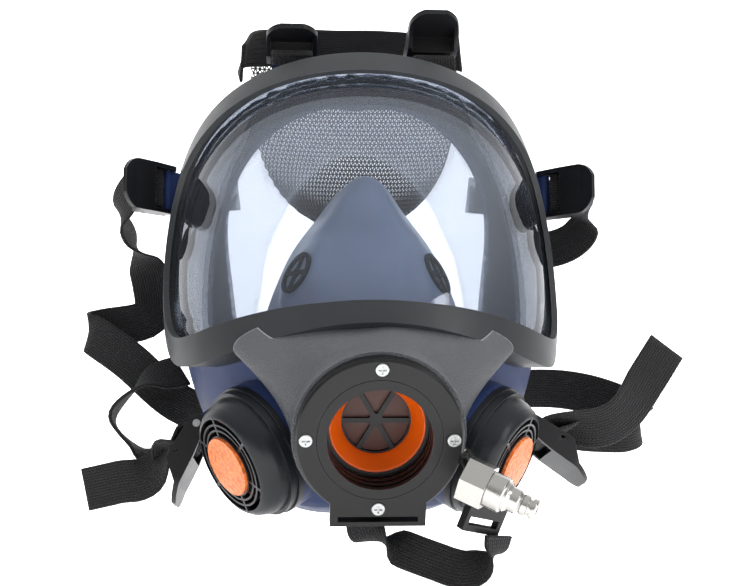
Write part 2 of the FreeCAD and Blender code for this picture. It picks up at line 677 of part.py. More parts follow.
def make_shell(seal, frame_lower, coupling, valve_room):
    top = SKIRT_TUCK * 2 - SHELL_BOSS_DEPTH
    hollow = skirt_loft(SHELL_WALL, -SHELL_BOSS_DEPTH - SHELL_WALL, -SHELL_SKIRT_DEPTH - 1)
    skirt = skirt_loft(0, top, -SHELL_SKIRT_DEPTH).cut(hollow)
    skirt = skirt.cut(block((-FAR, -FAR, -FAR), (FAR, SHELL_SKIRT_LOW, FAR)))
    boss = rod(SHELL_BOSS_RADIUS, -SHELL_BOSS_DEPTH, -PLATE_THICKNESS - REST_GAP)
    shell = boss.fuse(skirt).cut(rod(BODY_RADIUS + REST_GAP, -FAR, FAR))
    for across, up in screw_places():
        shell = shell.cut(rod(SCREW_RADIUS + RUNNING_GAP / 2, -SCREW_LENGTH - 1, FAR, across, up))
    strap_channel = block((-TAB_HALF_WIDTH, -FAR, -SHELL_CHANNEL_DEPTH), (TAB_HALF_WIDTH, TAB_SLOT_HIGH + 1, 0))
    shell = placed(shell.cut(strap_channel), port_frame)
    for tool in (seal, frame_lower, coupling, valve_room, valve_room.mirror(ORIGIN, X_AXIS)):
        shell = shell.cut(tool)
    return min(shell.Solids, key=lambda solid: solid.CenterOfMass.y)


# --- exhalation valve: height 0 is the badge's face ---------------------------------------------
def make_badge():
    """Disc with a slightly crowned face."""
    crown_radius = (BADGE_RADIUS**2 + BADGE_CROWN**2) / (2 * BADGE_CROWN)
    crown = Part.makeSphere(crown_radius, Vector(0, 0, -crown_radius))
    return rod(BADGE_RADIUS, -BADGE_THICKNESS, 0).common(crown)


def make_exhale_cover():
    """Domed cover: a hub under the badge, a ribbed grille round it and a dome down to the rim."""
    low, high = GRILLE_FRONT - GRILLE_THICKNESS, GRILLE_FRONT
    corners = [(GRILLE_RADIUS, high)]
    corners += [(GRILLE_RADIUS + out, high - down) for out, down in DOME_STEPS]
    corners += [(DOME_SHOULDER_RADIUS, DOME_SHOULDER_HEIGHT)]
    corners += [(DOME_SHOULDER_RADIUS + COVER_RIM_STEP, COVER_RIM_HEIGHT), (COVER_RIM_RADIUS, COVER_RIM_HEIGHT)]
    corners += [(COVER_RIM_RADIUS, COVER_FOOT_HEIGHT), (DOME_SHOULDER_RADIUS - COVER_WALL, COVER_FOOT_HEIGHT)]
    corners += [(DOME_SHOULDER_RADIUS - COVER_WALL, DOME_SHOULDER_HEIGHT), (GRILLE_RADIUS, low)]
    cover = turned(corners).fuse(rod(BADGE_RADIUS + BADGE_SURROUND, low, -BADGE_THICKNESS - REST_GAP))
    for radius in GRILLE_RINGS:
        cover = cover.fuse(tube(radius, radius + GRILLE_RING_WIDTH, low, high))
    for rib in range(GRILLE_RIBS):
        arm_end = GRILLE_RADIUS + GRILLE_RIB_WIDTH / 2
        arm = block((BADGE_RADIUS, -GRILLE_RIB_WIDTH / 2, low), (arm_end, GRILLE_RIB_WIDTH / 2, high))
        cover = cover.fuse(placed(arm, Placement(ORIGIN, Rotation(Z_AXIS, (rib + 0.5) * 360 / GRILLE_RIBS))))
    return cover.removeSplitter()


def make_exhale_seat():
    top = COVER_FOOT_HEIGHT - REST_GAP
    body = tube(EXHALE_SEAT_BORE, EXHALE_FLANGE_RADIUS, EXHALE_FLANGE_FOOT, top)
    body = body.fuse(tube(EXHALE_SEAT_BORE, EXHALE_SPIGOT_RADIUS, EXHALE_SPIGOT_END, top))
    body = body.fuse(tube(EXHALE_SEAT_BORE, EXHALE_SEAT_RADIUS, top, EXHALE_SEAT_HEIGHT))
    arms_low = EXHALE_SEAT_HEIGHT - EXHALE_ARM_DEPTH
    rim = EXHALE_SEAT_RADIUS - EXHALE_SEAT_BORE
    arms = spoked_disc(
        EXHALE_SEAT_RADIUS, rim, EXHALE_ARMS, EXHALE_ARM_WIDTH, VALVE_HEAD_RADIUS, arms_low, EXHALE_SEAT_HEIGHT
    )
    head_low = EXHALE_SEAT_HEIGHT + FLAP_THICKNESS + EXHALE_LIFT + 2 * REST_GAP
    stem = rod(VALVE_STEM_RADIUS, arms_low, head_low)
    head = rod(VALVE_HEAD_RADIUS, head_low, head_low + VALVE_HEAD_THICKNESS)
    return body.fuse([arms, stem, head]).removeSplitter()


def make_exhale_flap():
    low = EXHALE_SEAT_HEIGHT + REST_GAP
    return tube(VALVE_STEM_RADIUS + RUNNING_GAP, EXHALE_FLAP_RADIUS, low, low + FLAP_THICKNESS)


# --- nose cup -----------------------------------------------------------------------------------
# Half outlines (across, back, up), top to bottom: at the nostrils, across the cheeks, and the rim.
CUP_OUTLINES = [
    [(0, 38, 35.8), (11, 38, 33.8), (18, 38, 26.5), (21, 38, 14), (17, 38, 0), (9, 38, -7), (0, 38, -9)],
    [(0, 62, 100), (13, 62, 84), (25, 62, 62), (33, 60, 38), (31, 56, 10), (17, 50, -8), (0, 47, -11)],
    [(0, 86, 106), (15, 86, 94), (31, 86, 70), (42, 82, 38), (39, 70, 6), (22, 58, -8), (0, 54, -11)],
]


def cup_loops(inset):
    """Loops from the port's neck to the rim, each drawn smaller by inset."""
    collar = []
    radius = BODY_NECK_RADIUS + CUP_WALL - inset
    stations = len(CUP_OUTLINES[0])
    for index in range(stations):
        angle = math.pi * index / (stations - 1)
        local = Vector(radius * math.sin(angle), radius * math.cos(angle), -CUP_COLLAR_DEPTH)
        collar.append(port_frame.multVec(local))
    loops = [whole_loop(collar)]
    for outline in CUP_OUTLINES:
        middle = (outline[0][2] + outline[-1][2]) / 2
        half = []
        for corner in outline:
            point = Vector(*corner)
            half.append(point + Vector(-point.x, 0, middle - point.z).normalize() * inset)
        loops.append(whole_loop(half))
    return loops


def make_nose_cup(check_place, seal):
    cup = banded(cup_loops(0) + cup_loops(CUP_WALL)[::-1])
    cup = cup.cut(placed(rod(BODY_NECK_RADIUS + REST_GAP, -FAR, -BODY_SHOULDER_DEPTH), port_frame)).cut(seal)
    hole = placed(rod(CHECK_RADIUS + REST_GAP, -FAR / 8, FAR / 8), check_place)
    return largest(cup.cut(hole).cut(hole.mirror(ORIGIN, X_AXIS)))


def make_check_seat():
    half = CHECK_THICKNESS / 2
    arms_low = half - CHECK_ARM_DEPTH
    rim = CHECK_RADIUS - CHECK_BORE
    disc = spoked_disc(CHECK_RADIUS, rim, CHECK_ARMS, CHECK_ARM_WIDTH, CHECK_HUB_RADIUS, arms_low, half)
    wall = tube(CHECK_FLAP_RADIUS + CHECK_FLAP_CLEARANCE, CHECK_RADIUS, -half, half)
    head_high = arms_low - CHECK_FLAP_THICKNESS - CHECK_LIFT - 2 * REST_GAP
    stem = rod(CHECK_STEM_RADIUS, head_high - CHECK_HEAD_THICKNESS, arms_low)
    head = rod(CHECK_HEAD_RADIUS, head_high - CHECK_HEAD_THICKNESS, head_high)
    return disc.fuse([wall, stem, head]).removeSplitter()


def make_check_flap():
    high = CHECK_THICKNESS / 2 - CHECK_ARM_DEPTH - REST_GAP
    return tube(CHECK_STEM_RADIUS + RUNNING_GAP, CHECK_FLAP_RADIUS, high - CHECK_FLAP_THICKNESS, high)


# --- buckle: X is the pin, Z runs to the tongue, Y is the tongue's side -------------------------
def make_buckle():
    """Strap buckle: two cheeks on the pin, a bar for the strap and a rounded tongue to lift."""
    half, height, end = BUCKLE_HALF_WIDTH, BUCKLE_HALF_HEIGHT, BUCKLE_LENGTH
    side = [(-BUCKLE_PIVOT_ROUND, 0), (-height, BUCKLE_FULL_FROM), (-height, BUCKLE_FULL_TO)]
    side += [(height - BUCKLE_TONGUE_THICKNESS, BUCKLE_THIN_FROM), (height + BUCKLE_TIP_LOW, end)]
    side += [(height + BUCKLE_TIP_HIGH, end), (height, BUCKLE_THIN_FROM), (height, BUCKLE_FULL_FROM)]
    side += [(BUCKLE_PIVOT_ROUND, 0)]
    body = extruded([Vector(-half, rise, reach) for rise, reach in side], Vector(2 * half, 0, 0))
    body = body.fuse(Part.makeCylinder(BUCKLE_PIVOT_ROUND, 2 * half, Vector(-half, 0, 0), X_AXIS))
    round_start = end - half * BUCKLE_TIP_ROUND
    plan = block((-half, -FAR, -FAR), (half, FAR, round_start))
    tongue_end = Part.makeCylinder(half, 2 * FAR, Vector(0, -FAR, round_start), Y_AXIS)
    plan = plan.fuse(tongue_end.common(block((-half, -FAR, 0), (half, FAR, end))))
    body = body.common(plan)
    inside = half - BUCKLE_CHEEK
    body = body.cut(block((-inside, -FAR, -FAR), (inside, FAR, BUCKLE_TONGUE_START - BUCKLE_RIB_THICKNESS)))
    body = body.cut(block((-inside, -FAR, BUCKLE_TONGUE_START), (inside, height - BUCKLE_TONGUE_THICKNESS, end)))
    bar = Part.makeCylinder(BUCKLE_BAR_RADIUS, 2 * half, Vector(-half, 0, BUCKLE_BAR_AT), X_AXIS)
    body = body.fuse(bar)
    hole = Part.makeCylinder(PIN_RADIUS + RUNNING_GAP, 4 * half, Vector(-2 * half, 0, 0), X_AXIS)
    eye_start = Vector(-2 * half, BUCKLE_EYE_RISE, BUCKLE_EYE_AT)
    eye = Part.makeCylinder(BUCKLE_EYE_RADIUS, 4 * half, eye_start, X_AXIS)
    return largest(body.cut(hole).cut(eye).removeSplitter())


def make_lug():
    """Anchor moulded into the face-piece, with the eye that carries the buckle's pin."""
    arm = block((-LUG_HALF_WIDTH, -LUG_HALF_HEIGHT, -LUG_LENGTH), (LUG_HALF_WIDTH, LUG_HALF_HEIGHT, 0))
    arm = arm.fuse(Part.makeCylinder(LUG_HALF_HEIGHT, 2 * LUG_HALF_WIDTH, Vector(-LUG_HALF_WIDTH, 0, 0), X_AXIS))
    hole_start = Vector(-2 * LUG_HALF_WIDTH, 0, 0)
    hole = Part.makeCylinder(PIN_RADIUS + REST_GAP / 5, 4 * LUG_HALF_WIDTH, hole_start, X_AXIS)
    return arm.cut(hole).removeSplitter()


def make_buckle_pin():
    return Part.makeCylinder(PIN_RADIUS, 2 * BUCKLE_HALF_WIDTH, Vector(-BUCKLE_HALF_WIDTH, 0, 0), X_AXIS)


def hinge_frame(origin, pin, along):
    """Frame at the pin's centre: X along the pin, Z along the buckle or the lug."""
    x = Vector(pin).normalize()
    y = Vector(along).cross(x).normalize()
    return frame_of(origin, x, y, x.cross(y))


# --- air-line coupling, along its own axis from the hexagon's centre ----------------------------
def make_coupling_elbow(coupling_place):
    """Hexagon block on a pipe that runs back past the plate's rim and into the shell's boss."""
    corner = HEX_ACROSS_FLATS / math.sqrt(3)
    half = HEX_LENGTH / 2
    angles = [k * math.pi / 3 for k in range(6)]
    points = [Vector(corner * math.cos(angle), corner * math.sin(angle), -half) for angle in angles]
    bound = Part.makeCone(corner + HEX_BOUND_FOOT, corner + HEX_BOUND_TOP, HEX_LENGTH, Vector(0, 0, -half))
    hexagon = extruded(points, Vector(0, 0, HEX_LENGTH)).common(bound.fuse(bound.mirror(ORIGIN, Z_AXIS)))
    hexagon = placed(hexagon, coupling_place)
    local = port_frame.inverse().multVec(coupling_place.Base)
    back = Vector(local.x, local.y, COUPLING_PIPE_BACK)
    inwards = Vector(-local.x, -local.y, 0).normalize()
    pipe = pin_between(local, back, COUPLING_PIPE_RADIUS)
    knee = Part.makeSphere(COUPLING_PIPE_RADIUS, back)
    entry = pin_between(back, back + inwards * COUPLING_ENTRY, COUPLING_PIPE_RADIUS)
    elbow = placed(pipe.fuse([knee, entry]), port_frame).fuse(hexagon)
    socket = rod(SPIGOT_RADIUS + RUNNING_GAP, half - SPIGOT_LENGTH - SOCKET_END_GAP, FAR)
    return elbow.cut(placed(socket, coupling_place))


def make_nipple():
    start = HEX_LENGTH / 2 + REST_GAP
    sleeve = start + SLEEVE_LENGTH
    neck = sleeve + NECK_LENGTH
    shank = neck + SHANK_LENGTH
    nose = shank + NOSE_LENGTH
    groove = shank + NOSE_LENGTH * NOSE_GROOVE_AT
    foot = HEX_LENGTH / 2 - SPIGOT_LENGTH
    ring_low = foot + RING_LAND
    ring_high = ring_low + SPIGOT_GROOVE_WIDTH
    groove_end = groove + NOSE_GROOVE_WIDTH
    corners = [(NIPPLE_BORE, foot), (SPIGOT_RADIUS, foot), (SPIGOT_RADIUS, ring_low)]
    corners += [(SPIGOT_GROOVE_RADIUS, ring_low), (SPIGOT_GROOVE_RADIUS, ring_high)]
    corners += [(SPIGOT_RADIUS, ring_high), (SPIGOT_RADIUS, start), (SLEEVE_RADIUS, start)]
    corners += [(SLEEVE_RADIUS, sleeve - SLEEVE_CHAMFER), (SLEEVE_RADIUS - SLEEVE_CHAMFER, sleeve)]
    corners += [(NECK_RADIUS, sleeve), (NECK_RADIUS, neck), (SHANK_RADIUS + SHANK_LEAD_OUT, neck)]
    corners += [(SHANK_RADIUS, neck + SHANK_LEAD_DEPTH), (SHANK_RADIUS, shank - SHANK_TAPER)]
    corners += [(NOSE_RADIUS - NOSE_CHAMFER, shank), (NOSE_RADIUS, shank + NOSE_TAPER), (NOSE_RADIUS, groove)]
    corners += [(NOSE_GROOVE_RADIUS, groove), (NOSE_GROOVE_RADIUS, groove_end), (NOSE_RADIUS, groove_end)]
    corners += [(NOSE_RADIUS, nose - NOSE_CHAMFER), (NOSE_RADIUS - NOSE_CHAMFER, nose), (NIPPLE_BORE, nose)]
    return turned(corners)


def make_nipple_seal():
    height = HEX_LENGTH / 2 - SPIGOT_LENGTH + RING_LAND + SPIGOT_GROOVE_WIDTH / 2
    middle = (SPIGOT_GROOVE_RADIUS + SPIGOT_RADIUS) / 2 + REST_GAP / 2
    return Part.makeTorus(middle, RING_CORD_RADIUS, Vector(0, 0, height))


# --- webbing: each strap is a ribbon through stations of (centre, width direction) --------------
def ribbon(stations, width=STRAP_WIDTH):
    """Flat bar bent through its stations, skinned with flat triangles."""
    rings = []
    last = len(stations) - 1
    for index, (centre, across) in enumerate(stations):
        along = stations[min(index + 1, last)][0] - stations[max(index - 1, 0)][0]
        normal = along.cross(across).normalize()
        side = normal.cross(along).normalize() * (width / 2)
        rise = normal * (STRAP_THICKNESS / 2)
        rings.append([centre - side - rise, centre + side - rise, centre + side + rise, centre - side + rise])
    corners = [rings[0][:3], rings[0][2:] + rings[0][:1], rings[-1][:3], rings[-1][2:] + rings[-1][:1]]
    for ring, following in zip(rings, rings[1:]):
        for k in range(4):
            after = (k + 1) % 4
            corners.append([ring[k], ring[after], following[k]])
            corners.append([ring[after], following[after], following[k]])
    faces = [Part.Face(Part.makePolygon(triangle + triangle[:1])) for triangle in corners]
    skin = Part.Shell(faces)
    skin.sewShape()
    bar = Part.Solid(skin)
    if bar.Volume < 0:
        bar.reverse()
    return bar


def station(x, y, z, across):
    return Vector(x, y, z), Vector(*across)


def bar_turn(buckle_place, over_pin):
    """Stations of a strap that comes up past the bar's tongue side, round it, and over or under the pin."""
    across = buckle_place.Rotation.multVec(X_AXIS)
    radius = BUCKLE_BAR_RADIUS + STRAP_BAR_GAP + STRAP_THICKNESS / 2
    local = [(-6.0, BUCKLE_BAR_AT + 3.4), (-1.5, BUCKLE_BAR_AT + radius + 0.1)]
    for degrees in (40, 90) if over_pin else (40, 90, 140):
        angle = math.radians(degrees)
        local.append((radius * math.sin(angle), BUCKLE_BAR_AT + radius * math.cos(angle)))
    if over_pin:
        local += [(3.4, 3.5), (3.6, 0), (3.2, -4.0)]
    else:
        local += [(-1.0, BUCKLE_BAR_AT - radius - 0.5), (-6.0, BUCKLE_BAR_AT - radius - 1.2)]
    return [(buckle_place.multVec(Vector(0, y, z)), across) for y, z in local]


UP = (0, 0, 1)
SIDEWAYS = (1, 0, 0)


def make_top_strap_left(turn):
    """From behind the frame's top edge, up round the buckle's bar and back to the net."""
    front = [station(30, 79, 151, SIDEWAYS), station(30, 80, 157, SIDEWAYS)]
    back = [station(30, 116, 164.5, SIDEWAYS), station(30, 128, 164, SIDEWAYS)]
    return ribbon(front + turn + back)


def make_top_strap_right(turn):
    front = [station(-30, 77, 155.5, SIDEWAYS), station(-30, 80, 158, SIDEWAYS)]
    back = [station(-30, 116, 164.5, SIDEWAYS), station(-30, 128, 161, SIDEWAYS)]
    return ribbon(front + turn + back)


def make_temple_strap_left(turn):
    """Loops out behind the buckle, down past the frame, and back along the head to the net."""
    loop = [station(74, 138, 84, UP), station(88, 130, 82, UP), station(99, 123, 86, UP)]
    loop += [station(104, 118, 95, UP), station(100, 113, 104, UP)]
    back = [station(86, 126, 105, UP), station(70, 142, 108, UP), station(54, 147, 110, UP)]
    return ribbon(loop + turn + back)


def make_temple_strap_right(turn):
    """The same run, with its long free end folded over beside the jaw."""
    free = [station(-56, 126, 4, (0.5, 0, 1)), station(-78, 116, 12, (0.6, 0, 1))]
    free += [station(-99, 115, 30, (0.55, 0, 1)), station(-113, 116, 40, (0.3, 0, 1))]
    free += [station(-117, 120, 43, (0.1, 0, 1)), station(-111, 124, 45, UP)]
    free += [station(-92, 127, 50, (-0.2, 0, 1)), station(-92, 129, 66, (-0.9, 0, 0.5))]
    loop = [station(-98, 126, 80, (-0.5, 0, 1)), station(-104, 119, 94, (-0.2, 0, 1)), station(-100, 113, 104, UP)]
    back = [station(-86, 126, 105, UP), station(-70, 142, 108, UP), station(-54, 147, 110, UP)]
    return ribbon(free + loop + turn + back)


def make_lower_strap_left(turn):
    """Out from behind the jaw, folded back to the buckle, with a long free end standing up."""
    load = [station(60, 136, 18, UP), station(90, 114, 18, UP), station(112, 104, 12, (0.1, 0.2, 1))]
    load += [station(120, 98, 4, (0.2, 0.3, 1)), station(112, 90, 0, UP), station(98, 86, 0, (0, -0.2, 1))]
    free = [station(94, 74, 2, (-0.1, -0.3, 1)), station(108, 78, 8, (-0.3, -0.1, 1))]
    free += [station(120, 86, 22, (-0.8, 0, 0.6)), station(131, 92, 36, (-0.85, 0, 0.5))]
    return ribbon(load + turn + free)


def make_lower_strap_right(turn):
    """Comes out behind the jaw in a sharp fold, and leaves the buckle as a flat free end."""
    load = [station(-76, 108, 26, (0.6, 0.6, 0.6)), station(-92, 101, 20, (0.5, 0.8, 0.5))]
    load += [station(-104, 99, 6, (0, 1, 0)), station(-93, 98, -7, (-0.4, 0.9, 0.3))]
    load += [station(-82, 92, -9, (-0.2, 0.9, 0.3))]
    free = [station(-86, 74, -16, (0, 0.3, 1)), station(-98, 75, -19, UP)]
    free += [station(-111, 77, -22, (0.1, 0, 1))]
    return ribbon(load + turn + free)


def make_neck_strap():
    """Hangs from the plate's slot and loops up to its adjuster."""
    run = [station(-4, 16.5, -26, SIDEWAYS), station(-3, 20, -33, SIDEWAYS)]
    run += [station(4, 23, -37, (0.9, -0.2, -0.4))]
    run += [station(20, 20, -43, (0.7, -0.2, -0.7)), station(32, 16, -46, (0.3, -0.4, -0.9))]
    run += [station(41, 14, -41, (-0.6, -0.6, -0.5)), station(43, 13, -34, (-0.8, -0.6, 0.1))]
    return ribbon(run, width=STRAP_WIDTH * NECK_STRAP_SHARE)


def make_neck_adjuster():
    """Ladder slider on the neck strap."""
    half = STRAP_WIDTH * NECK_STRAP_SHARE / 2 + SLIDER_BORDER
    high = (half, SLIDER_HALF_THICKNESS, SLIDER_HALF_HEIGHT)
    body = block((-half, -SLIDER_HALF_THICKNESS, -SLIDER_HALF_HEIGHT), high)
    inside = half - SLIDER_FRAME
    for low in SLIDER_WINDOWS:
        body = body.cut(block((-inside, -FAR, low), (inside, FAR, low + SLIDER_WINDOW_HEIGHT)))
    return placed(body, hinge_frame(Vector(38, 11, -25), Vector(0.8, 0.6, -0.2), Vector(0.2, -0.3, 1)))


def make_harness_band():
    stations = [station(-51, 92, 156, (0.1, -0.2, 1)), station(-49, 106, 166, (0.4, -0.3, 1))]
    stations += [station(-38, 122, 172, (0.2, -0.5, 1)), station(-15, 132, 177, (0.1, -1, 0.6))]
    stations += [station(8, 133, 178.5, (0, -1, 0.4)), station(30, 126, 175, (-0.2, -1, 0.5))]
    stations += [station(46, 114, 168, (-0.4, -0.6, 0.9))]
    return ribbon(stations)


def make_harness_net():
    """Head cradle of net, shown as one thin sheet behind the mask."""
    edge = Vector(NET_HALF_WIDTH, NET_EDGE_BACK, NET_LOW)
    middle = Vector(0, NET_MIDDLE_BACK, NET_LOW)
    face = Part.Arc(flipped(edge), middle, edge).toShape().extrude(Vector(0, 0, NET_HEIGHT))
    return face.makeOffsetShape(NET_THICKNESS, 0.01, fill=True).Solids[0]


# --- assembly -----------------------------------------------------------------------------------
os.makedirs("parts", exist_ok=True)

exhale_place = axis_frame(EXHALE_CENTRE, EXHALE_AXIS)
check_place = axis_frame(CHECK_CENTRE, CHECK_AXIS)
coupling_place = axis_frame(COUPLING_CENTRE, COUPLING_AXIS)

# Hinges on the wearer's left: pin centre, pin direction, lug direction, and each side's buckle direction.
HINGES = {
    "top": (Vector(30, 103, 163), (1, 0, 0), (0, -0.3, 1), (0, -0.97, 0.22), (0, -1.0, -0.04)),
    "temple": (Vector(83.5, 114, 104.5), (0, 0, 1), (0.5, -0.86, 0), (0.62, -0.78, 0), (0.62, -0.78, 0)),
    "lower": (Vector(66, 74, 2), (0.06, -0.967, 0.25), (0.8, 0, -0.6), (0.80, -0.1, -0.58), (0.43, -0.2, -0.88)),
}


visor = make_visor()
frame_upper, frame_lower = make_frame_halves()
lip = make_lip(visor)
for name, shape in (("visor", visor), ("visor_frame_upper", frame_upper), ("visor_frame_lower", frame_lower)):
    export(name, largest(placed(shape, lens_frame)))
export("frame_screws", placed(make_frame_screws(), lens_frame))

lugs, pins, turns = [], [], {}
for name, (origin, pin, root, left_along, right_along) in HINGES.items():
    for side in ("left", "right"):
        mirror = side == "right"
        centre = flipped(origin) if mirror else origin
        pin_axis = Vector(*pin) if not mirror else flipped(pin)
        if mirror:
            pin_axis = pin_axis * -1
        root_along = flipped(root) if mirror else Vector(*root)
        along = flipped(right_along) if mirror else Vector(*left_along)
        buckle_place = hinge_frame(centre, pin_axis, along)
        lug_place = hinge_frame(centre, pin_axis, root_along)
        lug = largest(placed(make_lug(), lug_place))
        export("strap_lug_" + name + "_" + side, lug)
        lugs.append(lug)
        pins.append(placed(make_buckle_pin(), buckle_place))
        export("buckle_" + name + "_" + side, placed(make_buckle(), buckle_place))
        turns[name + "_" + side] = bar_turn(buckle_place, name == "top")
export("buckle_pins", Part.Compound(pins))

seal = make_seal_wall().fuse(placed(lip, lens_frame))
collar = placed(rod(EXHALE_FLANGE_RADIUS - BOSS_INSET, BOSS_END, EXHALE_FLANGE_FOOT - REST_GAP), exhale_place)
seal = seal.fuse([collar, collar.mirror(ORIGIN, X_AXIS)])
room_radius = EXHALE_FLANGE_RADIUS + VALVE_CLEARANCE
valve_room = placed(rod(room_radius, EXHALE_FLANGE_FOOT - REST_GAP, FAR / 8), exhale_place)
shell_room = placed(rod(room_radius, EXHALE_SPIGOT_END - 1, FAR / 8), exhale_place)
valve_hole = placed(rod(EXHALE_SPIGOT_RADIUS + REST_GAP, -FAR / 3, 0), exhale_place)
for tool in (valve_room, valve_hole):
    seal = seal.cut(tool).cut(tool.mirror(ORIGIN, X_AXIS))
seal = seal.cut(placed(rod(BODY_RADIUS + REST_GAP, -FAR / 3, FAR / 3), port_frame))
for piece in (visor, frame_upper, frame_lower, make_screw_room()):
    seal = seal.cut(placed(piece, lens_frame))
for lug in lugs:
    seal = seal.cut(lug)
seal = largest(seal)
export("face_seal", seal)

elbow = make_coupling_elbow(coupling_place)
export("air_inlet_elbow", elbow)
export("coupling_nipple", placed(make_nipple(), coupling_place))
export("nipple_seal", placed(make_nipple_seal(), coupling_place))
export("front_housing", make_shell(seal, placed(frame_lower, lens_frame), elbow, shell_room))

PORT_PIECES = {
    "port_plate": make_plate,
    "plate_screws": make_plate_screws,
    "port_thread_ring": make_thread_ring,
    "port_body": make_port_body,
    "port_gasket": make_port_gasket,
    "inhalation_seat": make_inhalation_seat,
    "inhalation_spider": make_inhalation_spider,
    "inhalation_flap": make_inhalation_flap,
}
for name, make in PORT_PIECES.items():
    export(name, placed(make(), port_frame))

EXHALE_PIECES = {
    "exhalation_badge": make_badge,
    "exhalation_cover": make_exhale_cover,
    "exhalation_seat": make_exhale_seat,
    "exhalation_flap": make_exhale_flap,
}
for name, make in EXHALE_PIECES.items():
    export_pair(name, placed(make(), exhale_place))

export("nose_cup", make_nose_cup(check_place, seal))
export_pair("check_valve_seat", placed(make_check_seat(), check_place))
export_pair("check_valve_flap", placed(make_check_flap(), check_place))

export("strap_top_left", make_top_strap_left(turns["top_left"]))
export("strap_top_right", make_top_strap_right(turns["top_right"]))
export("strap_temple_left", make_temple_strap_left(turns["temple_left"]))
export("strap_temple_right", make_temple_strap_right(turns["temple_right"]))
export("strap_lower_left", make_lower_strap_left(turns["lower_left"]))
export("strap_lower_right", make_lower_strap_right(turns["lower_right"]))
export("harness_band", make_harness_band())
export("harness_net", make_harness_net())
export("neck_strap", make_neck_strap())
export("neck_strap_adjuster", make_neck_adjuster())
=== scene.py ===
import json
import math

import bpy
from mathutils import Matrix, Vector


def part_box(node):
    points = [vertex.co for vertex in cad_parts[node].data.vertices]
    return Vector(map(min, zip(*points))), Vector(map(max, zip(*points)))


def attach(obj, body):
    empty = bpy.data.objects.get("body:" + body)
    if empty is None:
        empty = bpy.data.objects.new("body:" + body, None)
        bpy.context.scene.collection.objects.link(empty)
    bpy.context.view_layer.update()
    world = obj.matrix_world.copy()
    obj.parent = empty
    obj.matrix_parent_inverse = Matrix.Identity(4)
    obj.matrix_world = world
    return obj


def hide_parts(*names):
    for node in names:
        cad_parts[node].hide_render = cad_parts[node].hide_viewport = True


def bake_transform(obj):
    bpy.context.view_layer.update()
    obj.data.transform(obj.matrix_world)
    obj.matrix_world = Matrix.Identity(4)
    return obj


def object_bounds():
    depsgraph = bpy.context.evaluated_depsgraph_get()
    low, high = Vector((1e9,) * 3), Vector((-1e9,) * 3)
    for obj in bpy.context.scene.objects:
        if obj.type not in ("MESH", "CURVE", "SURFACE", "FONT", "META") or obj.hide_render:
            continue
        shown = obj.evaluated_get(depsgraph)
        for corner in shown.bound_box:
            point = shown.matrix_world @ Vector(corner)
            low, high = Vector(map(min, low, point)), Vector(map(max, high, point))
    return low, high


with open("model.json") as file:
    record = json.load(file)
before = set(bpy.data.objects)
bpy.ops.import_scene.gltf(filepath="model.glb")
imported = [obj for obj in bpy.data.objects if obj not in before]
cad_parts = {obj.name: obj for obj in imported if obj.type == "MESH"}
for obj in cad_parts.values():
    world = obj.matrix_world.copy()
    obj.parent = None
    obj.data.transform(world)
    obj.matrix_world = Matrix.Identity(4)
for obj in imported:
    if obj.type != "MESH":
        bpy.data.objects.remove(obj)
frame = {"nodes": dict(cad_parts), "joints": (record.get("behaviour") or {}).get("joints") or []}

# Full face respirator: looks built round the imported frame. Metres, +Z up, the wearer looks along -Y.
MM = 0.001
CAD_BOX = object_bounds()
NODES = frame["nodes"]
SIDES = {"left": 1, "right": -1}
UP = (0, 0, 1)
SIDEWAYS = (1, 0, 0)


# --- shader building -----------------------------------------------------------------------
# Sockets of a Mix node that mixes colours.
MIX_FACTOR, MIX_FIRST, MIX_SECOND = 0, 6, 7
MIX_RESULT = 2

# Lighter edges: samples of the bevelled normal, gain on its difference, and the noise that breaks it up.
EDGE_SAMPLES = 4
EDGE_GAIN = 4.0
EDGE_NOISE_SCALE = 900.0
EDGE_NOISE_DETAIL = 4.0

# Noise values at which a mottled colour is at its darkest and at its lightest.
MOTTLE_FROM, MOTTLE_TO = 0.3, 0.7
ROUGHNESS_DETAIL = 5.0


def material(name, color, roughness, metallic=0.0, **inputs):
    """A principled material; further inputs of its shader are given by name, with _ for a space."""
    mat = bpy.data.materials.new(name)
    mat.use_nodes = True
    shader = mat.node_tree.nodes["Principled BSDF"]
    shader.inputs["Base Color"].default_value = (*color, 1)
    shader.inputs["Roughness"].default_value = roughness
    shader.inputs["Metallic"].default_value = metallic
    for key, value in inputs.items():
        shader.inputs[key.replace("_", " ")].default_value = value
    return mat


def add(owner, kind, **settings):
    """Adds a node to a material's or a world's tree; settings name its inputs or its properties."""
    node = owner.node_tree.nodes.new(kind)
    for key, value in settings.items():
        if key in node.inputs:
            node.inputs[key].default_value = value
        else:
            setattr(node, key, value)
    return node


def link(owner, source, target):
    owner.node_tree.links.new(source, target)


def shader_of(mat):
    return mat.node_tree.nodes["Principled BSDF"]


def maths(mat, operation, a, b=None, c=None):
    node = add(mat, "ShaderNodeMath", operation=operation)
    for index, value in enumerate((a, b, c)):
        if value is None:
            continue
        if isinstance(value, (int, float)):
            node.inputs[index].default_value = value
        else:
            link(mat, value, node.inputs[index])
    return node.outputs[0]


def place(mat):
    return add(mat, "ShaderNodeTexCoord").outputs["Object"]


def noise(mat, scale, detail=3.0, roughness=0.5):
    node = add(mat, "ShaderNodeTexNoise", Scale=scale, Detail=detail, Roughness=roughness)
    link(mat, place(mat), node.inputs["Vector"])
    return node.outputs[0]


def bump(mat, height, strength, distance):
    """Adds a bump on top of any bump the material already has."""
    node = add(mat, "ShaderNodeBump", Strength=strength, Distance=distance)
    link(mat, height, node.inputs["Height"])
    normal = shader_of(mat).inputs["Normal"]
    if normal.links:
        link(mat, normal.links[0].from_socket, node.inputs["Normal"])
    link(mat, node.outputs[0], normal)


